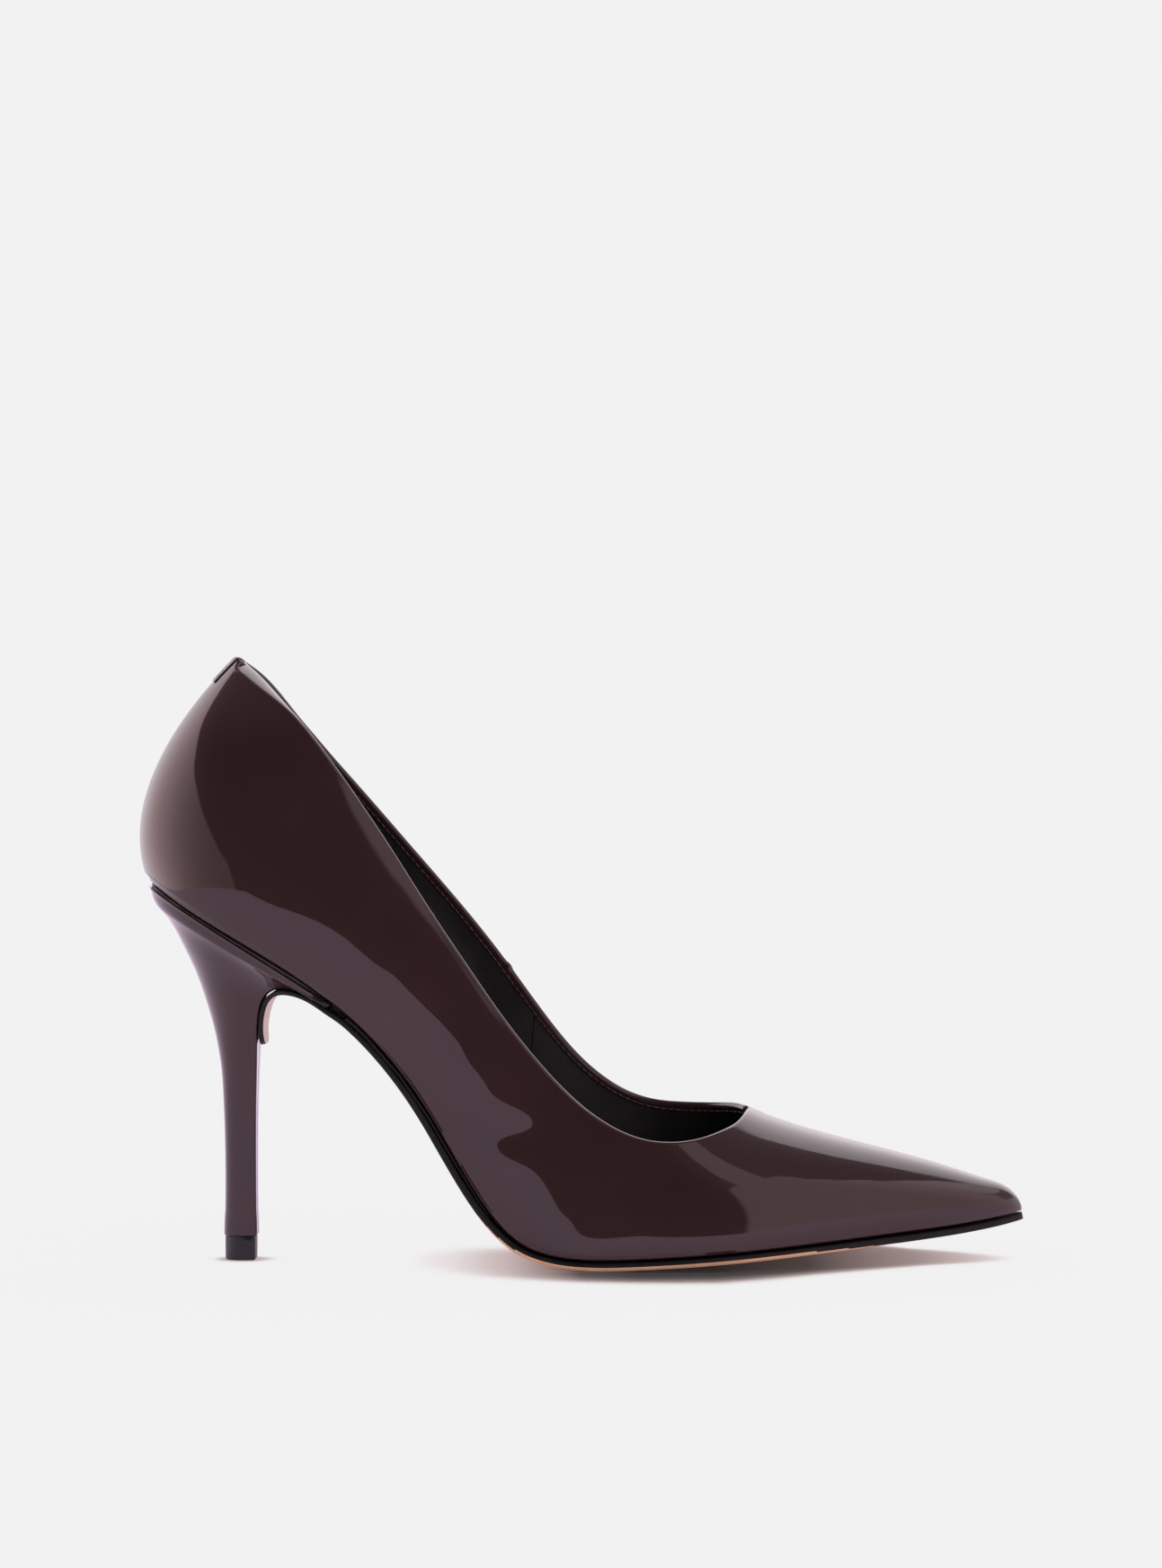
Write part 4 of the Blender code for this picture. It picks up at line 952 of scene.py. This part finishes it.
def make_outsole():
    """Leather sole with a dyed, rounded edge; its waist end turns down the breast as a flap."""
    lx, ly = outline(LAT, 0.1)
    mx, my = outline(MED, 0.1)
    toe = min(lx[-1], mx[-1])
    closer = 1 - (1 - np.linspace(0, 1, 90)) ** 2
    x = np.concatenate([np.linspace(SOLE_REAR, SOLE_BALL_END, SOLE_STEPS)[:-1],
                        SOLE_BALL_END + (toe - SOLE_BALL_END) * closer])[::-1]
    top = on_bed(x, 0 * x, -np.interp(x, SOLE_DROP_X, SOLE_DROP))
    wl, wm = np.interp(x, lx, ly), np.interp(x, mx, my)
    wl[0] = wm[0] = 0.02
    down = np.linspace(0, len(FLAP) - 1, 70)
    fx, fz = numbered(FLAP, down)
    fw = numbered(FLAP_HALF, down) - 3.0 * (1 - edge_taper(len(FLAP) - 1 - down, 0.9))
    px, pz = np.concatenate([top[:, 0], fx]), np.concatenate([top[:, 2], fz])
    join = smooth(down, 0, 2)
    wl, wm = (np.concatenate([w, fw * (join + (1 - join) * w[-1] / fw[0])]) for w in (wl, wm))
    relax(px, SOLE_BEND)
    relax(pz, SOLE_BEND)
    dx, dz = np.gradient(px), np.gradient(pz)
    relax(dx)
    relax(dz)
    length = np.hypot(dx, dz)
    nx, nz = -dz / length, dx / length
    lap = 0.45 * smooth(-px, 58, 68)
    px, pz = px - lap * nx, pz - lap * nz
    on_sole = np.clip((px + 66) / 30, 0, 1)
    bevel = smooth(px, -36, -12) * (1 - smooth(px, 50, 112))
    edge_t = FLAP_T + on_sole * (SOLE_EDGE_T - FLAP_T) + 0.3 * bevel
    bulge = on_sole * SOLE_BULGE * np.minimum(1, wl / 8)
    rings = []
    for i in range(len(px)):
        y, d = sole_section(-wl[i], wm[i], edge_t[i], bevel[i], bulge[i])
        rings.append(np.stack([px[i] + d * nx[i], y, np.maximum(pz[i] + d * nz[i], 0)], -1))
    rings = np.stack(rings)
    bm = bmesh.new()
    verts = add_grid(bm, rings, wrap=True)
    for i, face in enumerate(bm.faces):
        row, at = divmod(i, rings.shape[1])
        wide = int(round(8 * bevel[row] ** 0.7))
        if TAN_FROM <= at < TAN_TO:
            face.material_index = 1
        elif TAN_FROM - wide <= at < TAN_TO + wide:
            face.material_index = 2
    bm.faces.new(verts[0])
    bm.faces.new(verts[-1])
    obj = finish_mesh("outsole_leather", bm, EDGE, "sole_leather", "outsole", merge=2e-6)
    obj.data.materials.append(SOLE)
    obj.data.materials.append(RAW)


# ---- heel
def heel_half(levels, grow):
    """Half sections of the heel, back line to the middle of the breast face."""
    (bx, bz), (ax, az) = numbered(HEEL_BACK, levels), numbered(HEEL_BREAST, levels)
    half = numbered(HEEL_HALF, levels) + grow
    uc = numbered(HEEL_ROUND, levels)[:, None]
    span = np.hypot(ax - bx, az - bz)[:, None]
    th = np.linspace(0, math.pi / 2, HEEL_COLS)
    u = uc * (1 - np.cos(th))[None, :]
    y = half[:, None] * np.sin(th)[None, :] ** 0.92
    g = np.linspace(0, 1, 9)[1:]
    r = np.minimum(0.9, 0.3 * half[:, None])
    end = 1 - r / span
    u = np.concatenate([u, uc + (end - uc) * g[None, :]], 1)
    y = np.concatenate([y, half[:, None] * (1 - 0.06 * g[None, :] ** 2)], 1)
    a = np.linspace(0, math.pi / 2, 8)[None, 1:]
    u = np.concatenate([u, end + (1 - end) * np.sin(a)], 1)
    corner = half[:, None] * 0.94
    y = np.concatenate([y, corner - r * (1 - np.cos(a))], 1)
    inner = (corner - r) * np.array([0.82, 0.62, 0.42, 0.24, 0.12, 0.06, 0.025, 0])[None, :]
    dent = (0.22 * np.exp(-(inner / 0.28) ** 2) * smooth(levels, 5, 7)[:, None]) / span
    u = np.concatenate([u, 1 - dent], 1)
    y = np.concatenate([y, inner], 1)
    s0 = grow[:, None] / span
    u = -s0 + u * (1 + 2 * s0)
    x = bx[:, None] + u * (ax - bx)[:, None]
    z = bz[:, None] + u * (az - bz)[:, None]
    return np.stack([x, y, z], -1)


def make_heel_cover():
    """Patent leather drawn over the heel block, with its top lip and folded lower edge."""
    levels = np.concatenate([[0.02, 0.04, 0.08, 0.14, 0.2, 0.3], np.linspace(0.4, 12.4, 120),
                             [12.5, 12.62, 12.74, 12.86, 12.95, 13.0]])
    lip = 0.16 * np.exp(-((levels - 0.12) / 0.14) ** 2)
    hem = 0.12 * smooth(levels, 12.5, 12.68)
    brim = 1 - smooth(levels, 0.6, 3.4)
    g = heel_half(levels, lip + hem + 0.22 * brim)
    g[:, :HEEL_COLS, 0] -= 0.65 * brim[:, None] * np.cos(np.linspace(0, math.pi / 2, HEEL_COLS)) ** 2
    rise = RIM_UP * (1 - smooth(levels, 0.0, 1.6))
    _, bx, bz = bed_frame(np.clip(g[..., 0], BED_X[0], BED_X[-1]))
    g = g + np.stack([bx, 0 * bx, bz], -1) * rise[:, None, None]
    mid = g[0].mean(0) * [1, 0, 1]
    rim = []
    for out, up in ((1.9, 0.5), (1.1, 0.42), (0.5, 0.26), (0.18, 0.12)):
        spread = g[0] - mid
        flat = spread * (1 - out / np.maximum(np.linalg.norm(spread, axis=1, keepdims=True), 4.0))
        rim.append(mid + flat + np.stack([bx[0], 0 * bx[0], bz[0]], -1) * up)
    g = np.concatenate([rim, g])
    mid = g[-1].mean(0) * [1, 0, 1]
    tuck = [(g[-1] - mid) * [k, k, 1] + mid + [0, 0, -down]
            for k, down in ((1, 0.3), (0.975, 0.5), (0.93, 0.57))]
    g = np.concatenate([g, tuck])
    g[:, 0, 1] = g[:, -1, 1] = 0
    return finish_mesh("heel_cover_leather", both_halves(g), PATENT, "patent_upper", "heel_cover")


def make_top_piece():
    mid = (TOP_PIECE_BACK + TOP_PIECE_BREAST) / 2
    reach = mid - TOP_PIECE_BACK
    th = np.linspace(0, math.pi / 2, 24)
    rows = []
    for z, k in TOP_PIECE_ROWS:
        front = mid + reach - k
        a = np.linspace(0, math.pi / 2, 6)[1:]
        px = np.concatenate([mid - (reach - k) * np.cos(th), [mid + reach * 0.35, mid + reach * 0.7],
                             front - 0.8 + 0.8 * np.sin(a), [front] * 3])
        side = TOP_PIECE_HALF - k
        py = np.concatenate([side * np.sin(th), [side * 0.995, side * 0.985],
                             side * 0.98 - 0.8 * (1 - np.cos(a)), [side * 0.5, side * 0.2, 0]])
        rows.append(np.stack([px, py, np.full(len(px), float(z))], -1))
    return finish_mesh("top_piece_block", both_halves(np.stack(rows)), RUBBER, "tip_rubber", "top_piece")


def carry_over():
    """Hidden parts keep their shape and get a finish each; the counter, toe puff and insole board are made
    dark, which is not their real colour, so that they don't show as pale lines where they come through.
    """
    finishes = {
        stiffener_material(): ("heel_counter", "toe_puff"),
        board_material(): ("insole_board",),
        EDGE: ("waist_filler",),
        cork_material(): ("bottom_filler",),
        plastic_material(): ("heel_core",),
        steel_material(): ("steel_shank", "shank_rivet_rear", "shank_rivet_front", "heel_screw", "heel_dowel",
                           "top_piece_pin", *(f"heel_nail_{i}" for i in range(1, 5))),
    }
    for mat, names in finishes.items():
        for name in names:
            data = NODES[name].data
            data.materials.clear()
            data.materials.append(mat)


T_FRONT = LAT.find(LAT.fx, 108)
T_LINE = LAT.find(LAT.fx, -18)
T_GRIP = LAT.find(LAT.fx, -98)
LINE_GAP = 0.0006
upper_piece([(LAT, "all"), (MED, "front")], "upper_vamp", "vamp_lateral_quarter", "topline_facing")
upper_piece([(MED, "back")], "upper_medial_quarter", "medial_quarter")
lining_piece("lining_vamp", "vamp_lining", T_LINE + LINE_GAP, T_FRONT, LINING, "lining_leather")
lining_piece("lining_quarters", "quarter_lining", 0.0, T_LINE - LINE_GAP, LINING, "lining_leather")
lining_piece("grip_pad", "heel_grip", 0.0, T_GRIP, SUEDE, "grip_suede", start_h=6.0, extra=0.75, base_h=18.0)
make_tab_stitches(*make_back_tab())
make_topline_stitches()
layer_piece("sock_leather", LINING, "lining_leather", "sock_lining", 4.2, SOCK_LO - 0.2, SOCK_HI, 86, 0.5)
foam = layer_piece("sock_pad", foam_material(), "foam", "sock_foam", 5.0, 3.4, 4.7, 85)
make_outsole()
make_heel_cover()
make_top_piece()
carry_over()


# ---- stage
def shadow_glow(m):
    """Painted shadow in the light the paper gives by itself: less where the shoe stands over it, by ambient
    occlusion, and set by length along the shoe.
    """
    split = m.node("SeparateXYZ", {0: m.co})
    along = m.node("MapRange", {"From Min": -0.13, "From Max": 0.12, "Value": split.outputs[0]})

    def by_length(*stops):
        return m.value(m.ramp(along.outputs["Result"], [(at, (value,) * 3) for at, value in stops]))

    reach = by_length((0.16, 0.2), (0.28, 0.5), (0.38, 0.9), (0.52, 1.0), (0.66, 1.0), (0.76, 0.62),
                      (0.88, 0.33))
    # the painted shadow leans as if soft light came from behind the ball and from in front of the toe
    lean = by_length((0.36, 0.5), (0.52, 1.0), (0.66, 1.0), (0.76, 0.45), (0.88, 0.0))
    tilt = m.node("CombineXYZ", {"Y": ((lean - 0.5) * 1.5).socket, "Z": 1.0})
    inputs = {"Distance": (reach * 0.032).socket, "Normal": tilt.outputs[0]}
    near = m.node("AmbientOcclusion", inputs, samples=16)
    cover = ((0.1, 1.0), (0.52, 1.0), (0.74, 0.8), (0.88, 0.1), (0.96, 0.0))
    hidden = m.value(m.ramp(near.outputs["AO"], [(at, (value,) * 3) for at, value in cover]))
    depth = by_length((0.16, 0.5), (0.28, 0.08), (0.38, 0.16), (0.44, 0.4), (0.52, 0.9), (0.58, 1.0),
                      (0.66, 1.0), (0.76, 0.9), (0.88, 0.64), (0.98, 0.26))
    left = 1.0 - hidden * depth
    # colours of the painted shadow: near black at the contact, warm grey at its soft rim
    return m.ramp(left.socket, [(0.0, (0.015, 0.013, 0.014)), (0.1, (0.07, 0.052, 0.05)),
                                (0.3, (0.32, 0.235, 0.225)), (0.65, (0.69, 0.57, 0.57)),
                                (0.9, (0.95, 0.9, 0.91)), (1.0, (1.0, 1.0, 1.0))])


def flat_sheet(name, x0, x1, y0, y1, z, colour, glow=0.0):
    bm = bmesh.new()
    corners = ((x0, y0), (x1, y0), (x1, y1), (x0, y1))
    bm.faces.new([bm.verts.new((x * MM, y * MM, z * MM)) for x, y in corners])
    m = Mat(name + "_paper", 0.9, Specular_IOR_Level=0.0)
    lo, hi = (tuple(c * k * (1 - glow) for c in colour) for k in (0.998, 1.002))
    m.colour(m.ramp(m.noise(30, 2), [(0.0, lo), (1.0, hi)]))
    # the glow carries the painted shadow of the shoe on the floor
    if glow:
        m.link(shadow_glow(m), m.sh.inputs["Emission Color"])
        m.sh.inputs["Emission Strength"].default_value = colour[0] * glow
    obj = place_mesh(name, bm)
    obj.data.materials.append(m.m)
    return obj


def make_floors():
    """The floor itself, and the short table top that the glossy leather mirrors."""
    floor = flat_sheet("floor", -6000, 6000, -1600, 9000, 0.0, (PAPER,) * 3, GLOW)
    floor.visible_glossy = False
    table = flat_sheet("table", TABLE_LEFT, 6000, -TABLE_FRONT, 9000, 0.05, (0.98, 0.80, 1.0))
    table.visible_camera = False
    table.visible_diffuse = False
    table.visible_shadow = False
    table.visible_transmission = False


class Sky:
    """Node maths over the view direction."""

    def __init__(self, nt):
        split = add_node(nt, "SeparateXYZ", {0: add_node(nt, "TexCoord", {}).outputs["Generated"]})
        self.x, self.y, self.z = (Value(nt, split.outputs[i]) for i in range(3))

    def towards(self, azimuth):
        """How far a direction leans to an azimuth."""
        a = math.radians(azimuth)
        return self.x * math.sin(a) + self.y * -math.cos(a)

    def level(self, azimuth):
        """The same, for the direction flattened to the horizon."""
        flat = (1.0 - self.z * self.z).most(1e-4) ** 0.5
        return self.towards(azimuth) / flat

    def wall(self, azimuth, top, soft=0.03):
        """1 inside a long upright wall facing the shoe, 0 above its top edge."""
        facing = self.towards(azimuth)
        return (facing * top - self.z).step(0.0, soft) * facing.step(0.0, soft)


def mix_colour(nt, factor, other, this):
    return add_node(nt, "Mix", {"Factor": factor, 6: other, 7: this}, data_type="RGBA").outputs[2]


def make_world():
    """White paper for the camera, an even dome for the light, and a soft studio for the gloss."""
    world = bpy.data.worlds.new("studio")
    bpy.context.scene.world = world
    world.use_nodes = True
    world.cycles.sampling_method = "NONE"
    nt = world.node_tree
    sky = Sky(nt)
    left = (sky.level(-112).most(0.0) ** 2.5 * 1.36 + 0.42) * sky.wall(*WALLS["left"])
    right = sky.level(90).step(0.8, 0.97) * 0.3 + 0.78
    high, low = sky.z.step(0.69, 0.75) * 0.95, sky.z.step(0.3, 0.42) * 0.7
    right = right + sky.level(112).step(0.8, 0.93) * (high - low)
    right = right * sky.level(90).step(0.41, 0.46) * sky.wall(*WALLS["right"])
    back = sky.z.step(0.0, 0.5) * 0.78 + 0.9
    back = back * sky.level(160).step(0.8, 0.93) * sky.wall(*WALLS["back"])
    top = sky.z.step(0.55, 0.8) * 0.14
    box = sky.towards(35) * math.cos(BOX_RISE) + sky.z * math.sin(BOX_RISE)
    lit = left.most(right).most(back).most(top).most(box.step(0.986, 0.99) * 0.8)
    hue = mix_colour(nt, sky.towards(160).step(0.1, 0.5).socket, (1.18, 0.88, 0.92, 1), (1.03, 0.93, 0.98, 1))
    tint = add_node(nt, "VectorMath", {0: hue, "Scale": lit.socket}, operation="SCALE")
    even = (1.0 - sky.z.most(0.0)) * 2.25 + 0.25
    rays = add_node(nt, "LightPath", {}).outputs
    dome = mix_colour(nt, rays["Is Glossy Ray"], even.socket, tint.outputs[0])
    seen = mix_colour(nt, rays["Is Camera Ray"], dome, (PAPER, PAPER, PAPER, 1))
    nt.links.new(seen, nt.nodes["Background"].inputs["Color"])


def make_camera():
    cam = bpy.data.cameras.new("camera")
    cam.lens = LENS
    cam.sensor_width = SENSOR
    cam.clip_start = 0.05
    cam.clip_end = 50
    obj = bpy.data.objects.new("camera", cam)
    bpy.context.scene.collection.objects.link(obj)
    obj.location = (0, -CAM_DIST, CAM_HEIGHT)
    obj.rotation_euler = (math.radians(90), 0, 0)
    bpy.context.scene.camera = obj


make_floors()
make_world()
make_camera()
bpy.context.scene.view_settings.view_transform = "Standard"
